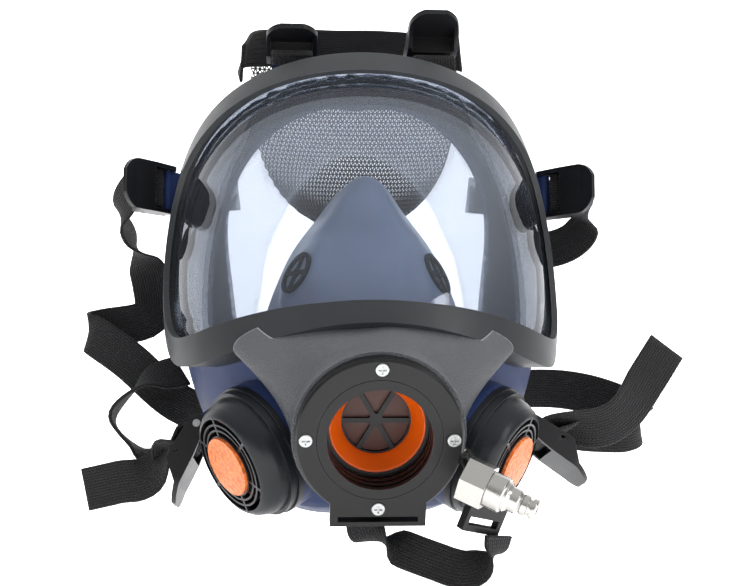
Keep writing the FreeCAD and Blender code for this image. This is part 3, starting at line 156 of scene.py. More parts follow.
def grain(mat, scale, detail, strength, depth):
    """Noise as a bump, its depth in millimetres."""
    bump(mat, noise(mat, scale, detail), strength, depth * MM)


def ramp(owner, factor, stops):
    """Colour ramp through (position, colour) stops."""
    node = add(owner, "ShaderNodeValToRGB")
    elements = node.color_ramp.elements
    while len(elements) < len(stops):
        elements.new(0.5)
    for element, (position, color) in zip(elements, stops):
        element.position = position
        element.color = (*color, 1)
    link(owner, factor, node.inputs[0])
    return node.outputs[0]


def scaled(color, factor):
    return tuple(min(1.0, channel * factor) for channel in color)


def mottle(mat, color, scale, amount):
    """Slow colour drift over the surface."""
    stops = [(MOTTLE_FROM, scaled(color, 1 - amount)), (MOTTLE_TO, scaled(color, 1 + amount))]
    link(mat, ramp(mat, noise(mat, scale), stops), shader_of(mat).inputs["Base Color"])


def vary_roughness(mat, scale, low, high):
    node = add(mat, "ShaderNodeMapRange")
    node.inputs["To Min"].default_value = low
    node.inputs["To Max"].default_value = high
    link(mat, noise(mat, scale, ROUGHNESS_DETAIL), node.inputs["Value"])
    link(mat, node.outputs[0], shader_of(mat).inputs["Roughness"])


def lightened_edges(mat, color, width, amount):
    """Lightens the base colour at sharp edges, found by comparing the bevelled normal with the true one.

    It works on a base colour that is linked already."""
    bevel = add(mat, "ShaderNodeBevel", samples=EDGE_SAMPLES, Radius=width)
    geometry = add(mat, "ShaderNodeNewGeometry")
    dot = add(mat, "ShaderNodeVectorMath", operation="DOT_PRODUCT")
    link(mat, bevel.outputs[0], dot.inputs[0])
    link(mat, geometry.outputs["Normal"], dot.inputs[1])
    edge = maths(mat, "MULTIPLY", maths(mat, "SUBTRACT", 1.0, dot.outputs["Value"]), EDGE_GAIN)
    broken = maths(mat, "MULTIPLY", edge, noise(mat, EDGE_NOISE_SCALE, EDGE_NOISE_DETAIL))
    factor = maths(mat, "MINIMUM", maths(mat, "MULTIPLY", broken, amount), 1.0)
    mix = add(mat, "ShaderNodeMix", data_type="RGBA")
    base = shader_of(mat).inputs["Base Color"]
    link(mat, factor, mix.inputs[MIX_FACTOR])
    link(mat, base.links[0].from_socket, mix.inputs[MIX_FIRST])
    mix.inputs[MIX_SECOND].default_value = (*color, 1)
    link(mat, mix.outputs[MIX_RESULT], base)


# --- materials -----------------------------------------------------------------------------
# Colour, roughness, grain scale, grain depth in millimetres, colour of the lighter edges.
PLASTICS = {
    "frame_plastic": ((0.020, 0.022, 0.024), 0.42, 1600.0, 0.09, (0.10, 0.10, 0.11)),
    "port_plastic": ((0.004, 0.004, 0.0045), 0.34, 2600.0, 0.04, (0.05, 0.05, 0.05)),
    "valve_plastic": ((0.006, 0.007, 0.009), 0.34, 2000.0, 0.06, (0.07, 0.07, 0.07)),
    "buckle_plastic": ((0.005, 0.005, 0.006), 0.4, 1500.0, 0.08, (0.10, 0.10, 0.10)),
    "body_plastic": ((0.012, 0.013, 0.015), 0.45, 1500.0, 0.06, (0.08, 0.08, 0.08)),
}
# Colour and roughness.
RUBBERS = {
    "port_flap_rubber": ((0.060, 0.014, 0.006), 0.5),
    "flap_rubber": ((0.20, 0.030, 0.012), 0.5),
    "ring_rubber": ((0.012, 0.012, 0.012), 0.45),
    "cup_flap_rubber": ((0.30, 0.34, 0.40), 0.4),
}
HOUSING_COLOR = (0.066, 0.069, 0.075)
HOUSING_ROUGHNESS = 0.5
HOUSING_EDGES = (0.30, 0.30, 0.31)
FACE_BLUE = (0.010, 0.023, 0.085)
CUP_BLUE = (0.44, 0.52, 0.63)
CUP_CLEAR_COLOR = (0.62, 0.70, 0.82, 1)
CUP_CLEAR_SHARE = 0.16
VISOR_COLOR = (0.8, 0.84, 0.9)
VISOR_CLEAR_COLOR = (0.66, 0.69, 0.735, 1)
VISOR_GLOSS_COLOR = (0.94, 0.96, 1.0, 1)
VISOR_IOR = 1.58
VISOR_GLOSS_SHARE = 0.55
VISOR_HAZE = 0.02
VISOR_SPECKS = [(0.72, (0, 0, 0)), (0.80, (0.06, 0.06, 0.06))]
SEAT_ORANGE = (0.68, 0.095, 0.002)
BADGE_ORANGE = (0.66, 0.145, 0.026)
# Painted highlight on the tops of the badge's raised cells and painted shade between them, as factors on its
# orange.
BADGE_CELL_HIGHLIGHT, BADGE_CELL_SHADE = 1.25, 0.72
NICKEL_COLOR = (0.47, 0.46, 0.435)
NICKEL_BRUSH_TURN = (0.4, -0.5, 0.3)
NICKEL_BRUSH_STRETCH = (0.15, 2.0, 2.0)
ZINC_COLOR = (0.42, 0.43, 0.43)
# Painted shade to painted highlight of the knit, by stitch height: darkest in the grooves between ribs and
# stitches, lightest on their tops.
KNIT_SHADE_TO_HIGHLIGHT_COLORS = [(0.0, (0.002, 0.002, 0.0025)), (0.9, (0.012, 0.012, 0.013)), (1.0, (0.028, 0.028, 0.030))]
KNIT_RIB = 0.0011
KNIT_STITCH = 0.0013
KNIT_SLANT = 1.2
KNIT_STITCH_HEIGHT = 0.35
KNIT_FUZZ = 0.25
KNIT_SHADE_CONTRAST = 0.7
YARN_COLOR = (0.016, 0.016, 0.018)


def moulded_plastic(name):
    color, roughness, grain_scale, grain_depth, edge_color = PLASTICS[name]
    mat = material(name, color, roughness, Specular_IOR_Level=0.3)
    mottle(mat, color, scale=60.0, amount=0.06)
    vary_roughness(mat, 140.0, roughness - 0.06, roughness + 0.06)
    grain(mat, grain_scale, detail=2.0, strength=0.35, depth=grain_depth)
    lightened_edges(mat, edge_color, width=0.35 * MM, amount=0.6)
    return mat


def pebble_plastic():
    """Coarse moulded leather-like grain: rounded cells with fine noise between them."""
    color, roughness = HOUSING_COLOR, HOUSING_ROUGHNESS
    mat = material("housing_plastic", color, roughness, Specular_IOR_Level=0.25)
    cells = add(mat, "ShaderNodeTexVoronoi", Scale=1500.0, feature="SMOOTH_F1", Smoothness=0.6)
    link(mat, place(mat), cells.inputs["Vector"])
    mottle(mat, color, scale=45.0, amount=0.08)
    vary_roughness(mat, 300.0, roughness - 0.08, roughness + 0.05)
    raised = maths(mat, "MULTIPLY", cells.outputs["Distance"], -1.0)
    bump(mat, raised, strength=0.8, distance=0.35 * MM)
    grain(mat, 3500.0, detail=2.0, strength=0.2, depth=0.05)
    lightened_edges(mat, HOUSING_EDGES, width=0.5 * MM, amount=0.5)
    return mat


def blue_rubber():
    mat = material("face_piece_rubber", FACE_BLUE, 0.5, Specular_IOR_Level=0.25, Sheen_Weight=0.05)
    mottle(mat, FACE_BLUE, scale=35.0, amount=0.12)
    vary_roughness(mat, 120.0, low=0.46, high=0.58)
    grain(mat, 1800.0, detail=2.0, strength=0.15, depth=0.08)
    return mat


def translucent_rubber():
    """Silicone of the nose cup: cloudy, part see-through at thin walls."""
    mat = material("nose_cup_silicone", CUP_BLUE, 0.38, Subsurface_Weight=0.35, Subsurface_Scale=0.004)
    mottle(mat, CUP_BLUE, scale=30.0, amount=0.08)
    vary_roughness(mat, 160.0, low=0.28, high=0.42)
    grain(mat, 700.0, detail=2.0, strength=0.1, depth=0.1)
    output = mat.node_tree.nodes["Material Output"]
    clear = add(mat, "ShaderNodeBsdfTransparent", Color=CUP_CLEAR_COLOR)
    mix = add(mat, "ShaderNodeMixShader", Fac=CUP_CLEAR_SHARE)
    link(mat, shader_of(mat).outputs[0], mix.inputs[1])
    link(mat, clear.outputs[0], mix.inputs[2])
    link(mat, mix.outputs[0], output.inputs["Surface"])
    return mat


def clear_visor():
    """Hard-coated polycarbonate: see-through, with reflections by Fresnel and faint haze and dust."""
    mat = material("visor_polycarbonate", VISOR_COLOR, 0.03, Coat_Weight=0.6, Coat_Roughness=0.02)
    output = mat.node_tree.nodes["Material Output"]
    clear = add(mat, "ShaderNodeBsdfTransparent", Color=VISOR_CLEAR_COLOR)
    gloss = add(mat, "ShaderNodeBsdfGlossy", Roughness=0.035, Color=VISOR_GLOSS_COLOR)
    fresnel = add(mat, "ShaderNodeFresnel", IOR=VISOR_IOR)
    share = maths(mat, "MULTIPLY", fresnel.outputs[0], VISOR_GLOSS_SHARE)
    surface = add(mat, "ShaderNodeMixShader")
    link(mat, share, surface.inputs[0])
    link(mat, clear.outputs[0], surface.inputs[1])
    link(mat, gloss.outputs[0], surface.inputs[2])
    haze = maths(mat, "MULTIPLY", noise(mat, scale=25.0, detail=4.0), VISOR_HAZE)
    specks = ramp(mat, noise(mat, scale=1400.0, detail=2.0), VISOR_SPECKS)
    veil = add(mat, "ShaderNodeMixShader")
    link(mat, maths(mat, "ADD", haze, specks), veil.inputs[0])
    link(mat, surface.outputs[0], veil.inputs[1])
    link(mat, shader_of(mat).outputs[0], veil.inputs[2])
    link(mat, veil.outputs[0], output.inputs["Surface"])
    return mat


def orange_plastic():
    mat = material("orange_seat_plastic", SEAT_ORANGE, 0.3, Specular_IOR_Level=0.5,
                   Subsurface_Weight=0.08, Subsurface_Scale=0.002)
    mottle(mat, SEAT_ORANGE, scale=80.0, amount=0.05)
    vary_roughness(mat, 220.0, low=0.24, high=0.38)
    grain(mat, 2500.0, detail=2.0, strength=0.12, depth=0.04)
    return mat


def badge_plastic():
    """Rubbery orange disc with a plain, generic texture of small raised cells; painted highlight on their
    tops, painted shade between them.
    """
    mat = material("badge_soft_plastic", BADGE_ORANGE, 0.42)
    cells = add(mat, "ShaderNodeTexVoronoi", Scale=620.0, feature="SMOOTH_F1", Smoothness=0.3)
    link(mat, place(mat), cells.inputs["Vector"])
    # Painted highlight near the middle of each raised cell, painted shade at its edges.
    stops = [(0.25, scaled(BADGE_ORANGE, BADGE_CELL_HIGHLIGHT)), (0.75, scaled(BADGE_ORANGE, BADGE_CELL_SHADE))]
    link(mat, ramp(mat, cells.outputs["Distance"], stops), shader_of(mat).inputs["Base Color"])
    raised = maths(mat, "MULTIPLY", cells.outputs["Distance"], -1.0)
    bump(mat, raised, strength=0.9, distance=0.5 * MM)
    grain(mat, 3000.0, detail=2.0, strength=0.2, depth=0.05)
    return mat


def nickel():
    """Plated metal with fine brush marks, drawn out by the mapping."""
    mat = material("nickel_plate", NICKEL_COLOR, 0.2, metallic=1.0)
    brushed = add(mat, "ShaderNodeTexNoise", Scale=900.0, Detail=4.0)
    stretch = add(mat, "ShaderNodeMapping")
    stretch.inputs["Rotation"].default_value = NICKEL_BRUSH_TURN
    stretch.inputs["Scale"].default_value = NICKEL_BRUSH_STRETCH
    link(mat, place(mat), stretch.inputs["Vector"])
    link(mat, stretch.outputs[0], brushed.inputs["Vector"])
    bump(mat, brushed.outputs[0], strength=0.12, distance=0.05 * MM)
    vary_roughness(mat, 180.0, low=0.16, high=0.34)
    return mat


def zinc():
    mat = material("zinc_screws", ZINC_COLOR, 0.34, metallic=1.0)
    mottle(mat, ZINC_COLOR, scale=900.0, amount=0.15)
    vary_roughness(mat, 1200.0, low=0.25, high=0.5)
    grain(mat, 2200.0, detail=3.0, strength=0.2, depth=0.04)
    return mat


def thin_rubber(name):
    color, roughness = RUBBERS[name]
    mat = material(name, color, roughness, Sheen_Weight=0.2)
    mottle(mat, color, scale=150.0, amount=0.1)
    grain(mat, 1500.0, detail=3.0, strength=0.15, depth=0.05)
    vary_roughness(mat, 300.0, roughness - 0.05, roughness + 0.08)
    return mat


def knit_webbing():
    """Elastic knit: slanted stitches in ribs that run along the strap, from the strap's own UV in metres."""
    mat = material("knit_webbing", KNIT_SHADE_TO_HIGHLIGHT_COLORS[0][1], 0.8, Sheen_Weight=0.05, Sheen_Roughness=0.4,
                   Specular_IOR_Level=0.3)
    uv = add(mat, "ShaderNodeUVMap", uv_map="strap")
    split = add(mat, "ShaderNodeSeparateXYZ")
    link(mat, uv.outputs[0], split.inputs[0])
    across, along = split.outputs[0], split.outputs[1]
    rib = maths(mat, "ABSOLUTE", maths(mat, "SINE", maths(mat, "MULTIPLY", across, math.pi / KNIT_RIB)))
    slant = maths(mat, "MULTIPLY", maths(mat, "PINGPONG", across, KNIT_RIB), KNIT_SLANT)
    slanted = maths(mat, "ADD", along, slant)
    stitch = maths(mat, "SINE", maths(mat, "MULTIPLY", slanted, 2 * math.pi / KNIT_STITCH))
    height = maths(mat, "MULTIPLY_ADD", stitch, KNIT_STITCH_HEIGHT, rib)
    fuzz = maths(mat, "MULTIPLY", noise(mat, scale=2500.0, detail=3.0), KNIT_FUZZ)
    # Painted shade in the grooves and painted highlight on the tops of the ribs and stitches, from their
    # height.
    shade = maths(mat, "MULTIPLY", maths(mat, "ADD", height, fuzz), KNIT_SHADE_CONTRAST)
    link(mat, ramp(mat, shade, KNIT_SHADE_TO_HIGHLIGHT_COLORS), shader_of(mat).inputs["Base Color"])
    bump(mat, height, strength=0.9, distance=0.35 * MM)
    grain(mat, 4000.0, detail=2.0, strength=0.3, depth=0.08)
    return mat


def net_yarn():
    mat = material("net_yarn", YARN_COLOR, 0.8, Sheen_Weight=0.4)
    mottle(mat, YARN_COLOR, scale=500.0, amount=0.3)
    grain(mat, 5000.0, detail=3.0, strength=0.5, depth=0.06)
    return mat


def paint_nodes(mat, *names):
    for name in names:
        data = NODES[name].data
        data.materials.clear()
        data.materials.append(mat)


def paired(*names):
    return [name + "_" + side for name in names for side in SIDES]


# --- CAD nodes that stay: welded, bevelled and smoothed by modifiers -------------------------
WELD_WITHIN = 0.002 * MM
BEVEL_SEGMENTS = 2
BEVEL_OVER = math.radians(32.0)
NORMAL_WEIGHT = 80


def finish_node(name, bevel):
    node = NODES[name]
    weld = node.modifiers.new("weld", "WELD")
    weld.merge_threshold = WELD_WITHIN
    if bevel > 0:
        edge = node.modifiers.new("bevel", "BEVEL")
        edge.width = bevel
        edge.segments = BEVEL_SEGMENTS
        edge.limit_method = "ANGLE"
        edge.angle_limit = BEVEL_OVER
        edge.harden_normals = False
    for polygon in node.data.polygons:
        polygon.use_smooth = True
    normals = node.modifiers.new("normals", "WEIGHTED_NORMAL")
    normals.keep_sharp = True
    normals.weight = NORMAL_WEIGHT


def dress_cad_nodes():
    plastic = {name: moulded_plastic(name) for name in PLASTICS}
    thin = {name: thin_rubber(name) for name in RUBBERS}
    lugs = paired("strap_lug_top", "strap_lug_temple", "strap_lug_lower")
    buckles = paired("buckle_top", "buckle_temple", "buckle_lower")
    # Material, bevel width in millimetres, nodes.
    plan = [
        (clear_visor(), 0.0, ["visor"]),
        (plastic["frame_plastic"], 0.55, ["visor_frame_upper", "visor_frame_lower"]),
        (pebble_plastic(), 0.4, ["front_housing"]),
        (plastic["port_plastic"], 0.15, ["port_plate", "port_thread_ring", "inhalation_spider"]),
        (plastic["body_plastic"], 0.1, ["port_body"]),
        (thin["ring_rubber"], 0.05, ["port_gasket", "nipple_seal"]),
        (orange_plastic(), 0.15, ["inhalation_seat"]),
        (thin["port_flap_rubber"], 0.0, ["inhalation_flap"]),
        (thin["flap_rubber"], 0.0, paired("exhalation_flap")),
        (badge_plastic(), 0.3, paired("exhalation_badge")),
        (plastic["valve_plastic"], 0.2, paired("exhalation_cover", "exhalation_seat")),
        (plastic["body_plastic"], 0.15, paired("check_valve_seat")),
        (thin["cup_flap_rubber"], 0.0, paired("check_valve_flap")),
        (blue_rubber(), 0.3, ["face_seal"] + lugs),
        (plastic["buckle_plastic"], 0.25, buckles + ["neck_strap_adjuster"]),
        (zinc(), 0.1, ["plate_screws", "frame_screws", "buckle_pins"]),
        (nickel(), 0.15, ["air_inlet_elbow", "coupling_nipple"]),
    ]
    for mat, bevel, names in plan:
        paint_nodes(mat, *names)
        for name in names:
            finish_node(name, bevel * MM)


# --- meshes ----------------------------------------------------------------------------------
def mesh_object(name, vertices, faces, mat):
    """Smooth-shaded mesh of one material, linked to the scene."""
    data = bpy.data.meshes.new(name)
    data.from_pydata([tuple(v) for v in vertices], [], faces)
    data.materials.append(mat)
    for polygon in data.polygons:
        polygon.use_smooth = True
    thing = bpy.data.objects.new(name, data)
    bpy.context.scene.collection.objects.link(thing)
    return thing


def catmull(points, steps):
    """Smooth run through the points, with `steps` samples between neighbours."""
    padded = [points[0] * 2 - points[1]] + list(points) + [points[-1] * 2 - points[-2]]
    run = []
    for index in range(1, len(padded) - 2):
        p0, p1, p2, p3 = padded[index - 1:index + 3]
        for step in range(steps):
            t = step / steps
            run.append(0.5 * (2 * p1 + (p2 - p0) * t + (2 * p0 - 5 * p1 + 4 * p2 - p3) * t * t
                              + (3 * p1 - p0 - 3 * p2 + p3) * t ** 3))
    run.append(points[-1].copy())
    return run


STRAP_WIDTH = 17.0 * MM
STRAP_THICKNESS = 1.5 * MM
NECK_WIDTH = 13.6 * MM
# Samples between two stations of a strap.
STRAP_STEPS = 7
# Upper half of a strap's cross-section, (across, thick) as shares of the half width and half thickness.
STRAP_SECTION = [(-1.0, 0.0), (-0.99, 0.55), (-0.95, 0.95), (-0.82, 1.0), (-0.5, 0.92), (0.0, 0.88),
                 (0.5, 0.92), (0.82, 1.0), (0.95, 0.95), (0.99, 0.55), (1.0, 0.0)]
STRAP_RING = 2 * len(STRAP_SECTION) - 2


def strap(name, stations, mat, width=STRAP_WIDTH):
    """Strap through (centre, across) stations, with rolled edges, closed ends and a UV in metres."""
    centres = catmull([centre for centre, _ in stations], STRAP_STEPS)
    acrosses = catmull([across for _, across in stations], STRAP_STEPS)
    section = STRAP_SECTION + [(a, -t) for a, t in STRAP_SECTION[-2:0:-1]]
    vertices, uv, length = [], [], 0.0
    last = len(centres) - 1
    for index, (centre, across) in enumerate(zip(centres, acrosses)):
        along = (centres[min(index + 1, last)] - centres[max(index - 1, 0)]).normalized()
        normal = along.cross(across).normalized()
        side = normal.cross(along).normalized()
        if index:
            length += (centre - centres[index - 1]).length
        for a, t in section:
            offset = side * (a * width / 2) + normal * (t * STRAP_THICKNESS / 2)
            vertices.append(centre + offset)
            uv.append((a * width / 2, length))
    faces = []
    for start in range(0, last * STRAP_RING, STRAP_RING):
        for k in range(STRAP_RING):
            after = (k + 1) % STRAP_RING
            end = start + STRAP_RING
            faces.append((start + k, start + after, end + after, end + k))
    faces.append(tuple(range(STRAP_RING))[::-1])
    faces.append(tuple(range(last * STRAP_RING, (last + 1) * STRAP_RING)))
    thing = mesh_object(name, vertices, faces, mat)
    layer = thing.data.uv_layers.new(name="strap")
    for loop in thing.data.loops:
        layer.data[loop.index].uv = uv[loop.vertex_index]
    return thing


def at(x, y, z, across=UP):
    """Station of a strap: its centre, given in millimetres, and the way its width runs."""
    return Vector((x, y, z)) * MM, Vector(across).normalized()


# --- soft goods ------------------------------------------------------------------------------
def joint_of(name):
    return next(joint for joint in frame["joints"] if joint["name"] == name)


# Millimetres: from a buckle's pin to its bar, and from the bar's middle to the middle of the strap round it.
BAR_AT = 7.5
BAR_ROUND = 2.5
# Stations before and after the bar, (rise, reach) in millimetres from the pin; reach runs along the buckle.
UP_TO_BAR = [(-6.0, BAR_AT + 3.4), (-1.5, BAR_AT + BAR_ROUND + 0.1)]
OVER_PIN = [(3.4, 3.5), (3.6, 0), (3.2, -4.0)]
UNDER_PIN = [(-1.0, BAR_AT - BAR_ROUND - 0.5), (-6.0, BAR_AT - BAR_ROUND - 1.2)]
# Degrees round the bar.
TURN_OVER = (40, 90)
TURN_UNDER = (40, 90, 140)
# Which way each buckle points from its pin.
BUCKLE_ALONG = {
    "top_left": (0, -0.97, 0.22), "top_right": (0, -1.0, -0.04),
    "temple_left": (0.62, -0.78, 0), "temple_right": (-0.62, -0.78, 0),
    "lower_left": (0.80, -0.1, -0.58), "lower_right": (-0.43, -0.2, -0.88),
}


def bar_turn(place):
    """Stations of a strap that comes up past the buckle's bar, round it, and over or under the pin."""
    joint = joint_of("buckle_pivot_" + place)
    pin, x = Vector(joint["pos_m"]) / MM, Vector(joint["axis"])
    y = Vector(BUCKLE_ALONG[place]).cross(x).normalized()
    z = x.cross(y)
    over_pin = place.startswith("top")
    local = list(UP_TO_BAR)
    for degrees in TURN_OVER if over_pin else TURN_UNDER:
        angle = math.radians(degrees)
        local.append((BAR_ROUND * math.sin(angle), BAR_AT + BAR_ROUND * math.cos(angle)))
    local += OVER_PIN if over_pin else UNDER_PIN
    return [at(*(pin + y * rise + z * reach), x) for rise, reach in local]


def bend_with_buckle(piece):
    """Bakes the strap's placement into its mesh.
    """
    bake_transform(piece)


# Stations of each strap before and after its buckle, (x, y, z) in millimetres and the way its width runs.
STRAP_RUNS = {
    "top_left": (
        [(30, 79, 151, SIDEWAYS), (30, 80, 157, SIDEWAYS)],
        [(30, 116, 164.5, SIDEWAYS), (30, 128, 164, SIDEWAYS)]),
    "top_right": (
        [(-30, 77, 155.5, SIDEWAYS), (-30, 80, 158, SIDEWAYS)],
        [(-30, 116, 164.5, SIDEWAYS), (-30, 128, 161, SIDEWAYS)]),
    "temple_left": (
        [(74, 138, 84), (88, 130, 82), (99, 123, 86), (104, 118, 95), (100, 113, 104)],
        [(86, 126, 105), (70, 142, 108), (54, 147, 110)]),
    "temple_right": (
        [(-56, 126, 4, (0.5, 0, 1)), (-78, 116, 12, (0.6, 0, 1)), (-99, 115, 30, (0.55, 0, 1)),
         (-113, 116, 40, (0.3, 0, 1)), (-117, 120, 43, (0.1, 0, 1)), (-111, 124, 45),
         (-92, 127, 50, (-0.2, 0, 1)), (-92, 129, 66, (-0.9, 0, 0.5)), (-98, 126, 80, (-0.5, 0, 1)),
         (-104, 119, 94, (-0.2, 0, 1)), (-100, 113, 104)],
        [(-86, 126, 105), (-70, 142, 108), (-54, 147, 110)]),
    "lower_left": (
        [(60, 136, 18), (90, 114, 18), (112, 104, 12, (0.1, 0.2, 1)), (120, 98, 4, (0.2, 0.3, 1)),
         (112, 90, 0), (98, 86, 0, (0, -0.2, 1))],
        [(94, 74, 2, (-0.1, -0.3, 1)), (108, 78, 8, (-0.3, -0.1, 1)), (120, 86, 22, (-0.8, 0, 0.6)),
         (131, 92, 36, (-0.85, 0, 0.5))]),
    "lower_right": (
        [(-76, 108, 26, (0.6, 0.6, 0.6)), (-92, 101, 20, (0.5, 0.8, 0.5)), (-104, 99, 6, (0, 1, 0)),
         (-93, 98, -7, (-0.4, 0.9, 0.3)), (-82, 92, -9, (-0.2, 0.9, 0.3))],
        [(-86, 74, -16, (0, 0.3, 1)), (-98, 75, -19), (-111, 77, -22, (0.1, 0, 1))]),
}
# Straps with no buckle of their own: piece, node it stands for, width, stations.
LOOSE_RUNS = [
    ("webbing_neck", "neck_strap", NECK_WIDTH, [
        (-4, 16.5, -26, SIDEWAYS), (-3, 20, -33, SIDEWAYS), (4, 23, -37, (0.9, -0.2, -0.4)),
        (20, 20, -43, (0.7, -0.2, -0.7)), (32, 16, -46, (0.3, -0.4, -0.9)),
        (41, 14, -41, (-0.6, -0.6, -0.5)), (43, 13, -34, (-0.8, -0.6, 0.1))]),
    ("webbing_band", "harness_band", STRAP_WIDTH, [
        (-51, 92, 156, (0.1, -0.2, 1)), (-49, 106, 166, (0.4, -0.3, 1)), (-38, 122, 172, (0.2, -0.5, 1)),
        (-15, 132, 177, (0.1, -1, 0.6)), (8, 133, 178.5, (0, -1, 0.4)), (30, 126, 175, (-0.2, -1, 0.5)),
        (46, 114, 168, (-0.4, -0.6, 0.9))]),
]


def make_straps(knit):
    for name, (before, after) in STRAP_RUNS.items():
        turn = bar_turn(name)
        stations = [at(*spot) for spot in before] + turn + [at(*spot) for spot in after]
        piece = strap("webbing_" + name, stations, knit)
        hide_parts("strap_" + name)
        bend_with_buckle(piece)
    for name, node, width, run in LOOSE_RUNS:
        piece = strap(name, [at(*spot) for spot in run], knit, width)
        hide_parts(node)
        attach(piece, "face_piece")


NET_PITCH = 2.1 * MM
NET_YARN = 1.45 * MM
# Least width of the net's lower edge as a share of the whole, and the size of its crumples.
NET_NARROWEST = 0.3
NET_CRUMPLE = 0.6 * MM


def make_net():
    """Head cradle: an open diamond net, bowed round the back of the head, narrower at its lower edge."""
    low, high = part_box("harness_net")
    mat = net_yarn()
    columns = round((high.x - low.x) / NET_PITCH)
    rows = round((high.z - low.z) / NET_PITCH)
    sag = high.y - low.y - 2 * NET_YARN

    def spot(u, v):
        narrow = max(NET_NARROWEST, math.sqrt(1 - (1 - v) ** 3))
        x = (low.x + high.x) / 2 + (high.x - low.x) * (u - 0.5) * narrow
        bow = 1 - (2 * u - 1) ** 2
        crumple = NET_CRUMPLE * math.sin(9 * u + 4 * v) * math.sin(7 * v)
        return Vector((x, low.y + NET_YARN + sag * bow + crumple, low.z + (high.z - low.z) * v))

    verts, faces = [], []
    for row in range(rows + 1):
        for column in range(columns + 1):
            shift = 0.5 * (row % 2)
            verts.append(spot(min(1, (column + shift) / columns), row / rows))
    stride = columns + 1
    for row in range(rows):
        for column in range(columns):
            a = row * stride + column
            b = a + stride
            if row % 2:
                faces += [(a, a + 1, b + 1), (a, b + 1, b)]
            else:
                faces += [(a, a + 1, b), (a + 1, b + 1, b)]
    net = mesh_object("head_net", verts, faces, mat)
    wires = net.modifiers.new("yarn", "WIREFRAME")
    wires.thickness = NET_YARN
    wires.use_even_offset = False
    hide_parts("harness_net")
    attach(net, "face_piece")


# Half outlines of the nose cup, (across, back, up) in millimetres from top to bottom: behind the collar,
# across the cheeks, and the rim.
CUP_OUTLINES = [
    [(0, 38, 35.4), (7, 38, 34.8), (13, 38, 32.4), (19, 38, 25),
     (20.5, 38, 11), (14.5, 38, -4), (0, 38, -8.6)],
    [(0, 62, 97), (7, 62, 93), (15, 62, 80), (26, 61.5, 61),
     (32.4, 60, 36), (29, 55, 7), (0, 47, -10.6)],
    [(0, 85.4, 104), (9, 85.4, 100), (18, 85.4, 89), (31.5, 85.4, 69),
     (41.5, 82, 37), (37, 68, 3), (0, 54, -10.6)],
]
# Samples between two points of an outline, and between two outlines.
CUP_AROUND = 10
CUP_BETWEEN = 14
# Points of a closed outline repeated at its start, so that the curve through it closes smoothly.
CUP_OVERLAP = 2
# Collar round the port, in millimetres.
COLLAR_STEPS = 6
COLLAR_RADIUS = 21.2
COLLAR_DEPTH = 21.0
PORT_TILT = math.radians(20.0)
CUP_WALL = 1.6 * MM
# Hole for a check valve, and how far from its axis the skin is pulled towards the valve's seat.
CHECK_RADIUS = 8.7 * MM
CHECK_BLEND = 17.0 * MM


def check_valve_places():
    """Centre and axis of each check valve's seat, from its flap's joint and box."""
    places = []
    for side in SIDES:
        low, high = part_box("check_valve_seat_" + side)
        places.append(((low + high) / 2, Vector(joint_of("check_lift_" + side)["axis"]).normalized()))
    return places


def collar_outline():
    """Half circle round the port's axis, from top to bottom, on the end of the port's body."""
    outline = []
    for angle in [math.pi * k / COLLAR_STEPS for k in range(COLLAR_STEPS + 1)]:
        up = COLLAR_RADIUS * math.cos(angle)
        back = COLLAR_DEPTH * math.cos(PORT_TILT) - up * math.sin(PORT_TILT)
        rise = up * math.cos(PORT_TILT) + COLLAR_DEPTH * math.sin(PORT_TILT)
        outline.append((COLLAR_RADIUS * math.sin(angle), back, rise))
    return outline


def closed_ring(outline):
    """Smooth closed run through a half outline and its mirror image."""
    half = [Vector(corner) * MM for corner in outline]
    mirrored = [Vector((-corner.x, corner.y, corner.z)) for corner in half[-2:0:-1]]
    loop = half + mirrored
    run = catmull(loop[-CUP_OVERLAP:] + loop + loop[:CUP_OVERLAP + 1], CUP_AROUND)
    return run[CUP_OVERLAP * CUP_AROUND:(CUP_OVERLAP + len(loop)) * CUP_AROUND]


def settle(point, places):
    """The point pulled towards the seats of the check valves, and whether it lies inside a valve's hole."""
    held = False
    for centre, axis in places:
        offset = point - centre
        height = offset.dot(axis)
        radial = offset - axis * height
        reach = (CHECK_BLEND - radial.length) / (CHECK_BLEND - CHECK_RADIUS)
        if reach <= 0 or abs(height) > CHECK_BLEND:
            continue
        pull = min(1.0, reach)
        pull = pull * pull * (3 - 2 * pull)
        held = radial.length < CHECK_RADIUS
        if held:
            radial = radial.normalized() * CHECK_RADIUS
        point = centre + radial + axis * height * (1 - pull)
    return point, held


def make_nose_cup():
    """Silicone cup: one smooth skin through its outlines, with a round hole for each check valve."""
    rings = [closed_ring(outline) for outline in [collar_outline()] + CUP_OUTLINES]
    count = len(rings[0])
    columns = [catmull([ring[k] for ring in rings], CUP_BETWEEN) for k in range(count)]
    levels = len(columns[0])
    places = check_valve_places()
    settled = [settle(columns[k][level], places) for level in range(levels) for k in range(count)]
    faces = []
    for level in range(levels - 1):
        for k in range(count):
            after = (k + 1) % count
            low, high = level * count, (level + 1) * count
            corners = (low + k, low + after, high + after, high + k)
            if not all(settled[corner][1] for corner in corners):
                faces.append(corners)
    cup = mesh_object("cup_skin", [point for point, _ in settled], faces, translucent_rubber())
    wall = cup.modifiers.new("wall", "SOLIDIFY")
    wall.thickness = CUP_WALL
    wall.offset = 0.0
    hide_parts("nose_cup")
    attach(cup, "face_piece")


# --- stage -----------------------------------------------------------------------------------
CAMERA_AT = Vector((-35.1, -411.3, 16.0)) * MM
# Degrees: to the camera's right, and up.
CAMERA_TURN = 4.2
CAMERA_PITCH = 4.8
# Millimetres, as Blender counts lenses.
CAMERA_LENS = 59.0
CAMERA_SENSOR = 36.0
CAMERA_NEAR = 0.01


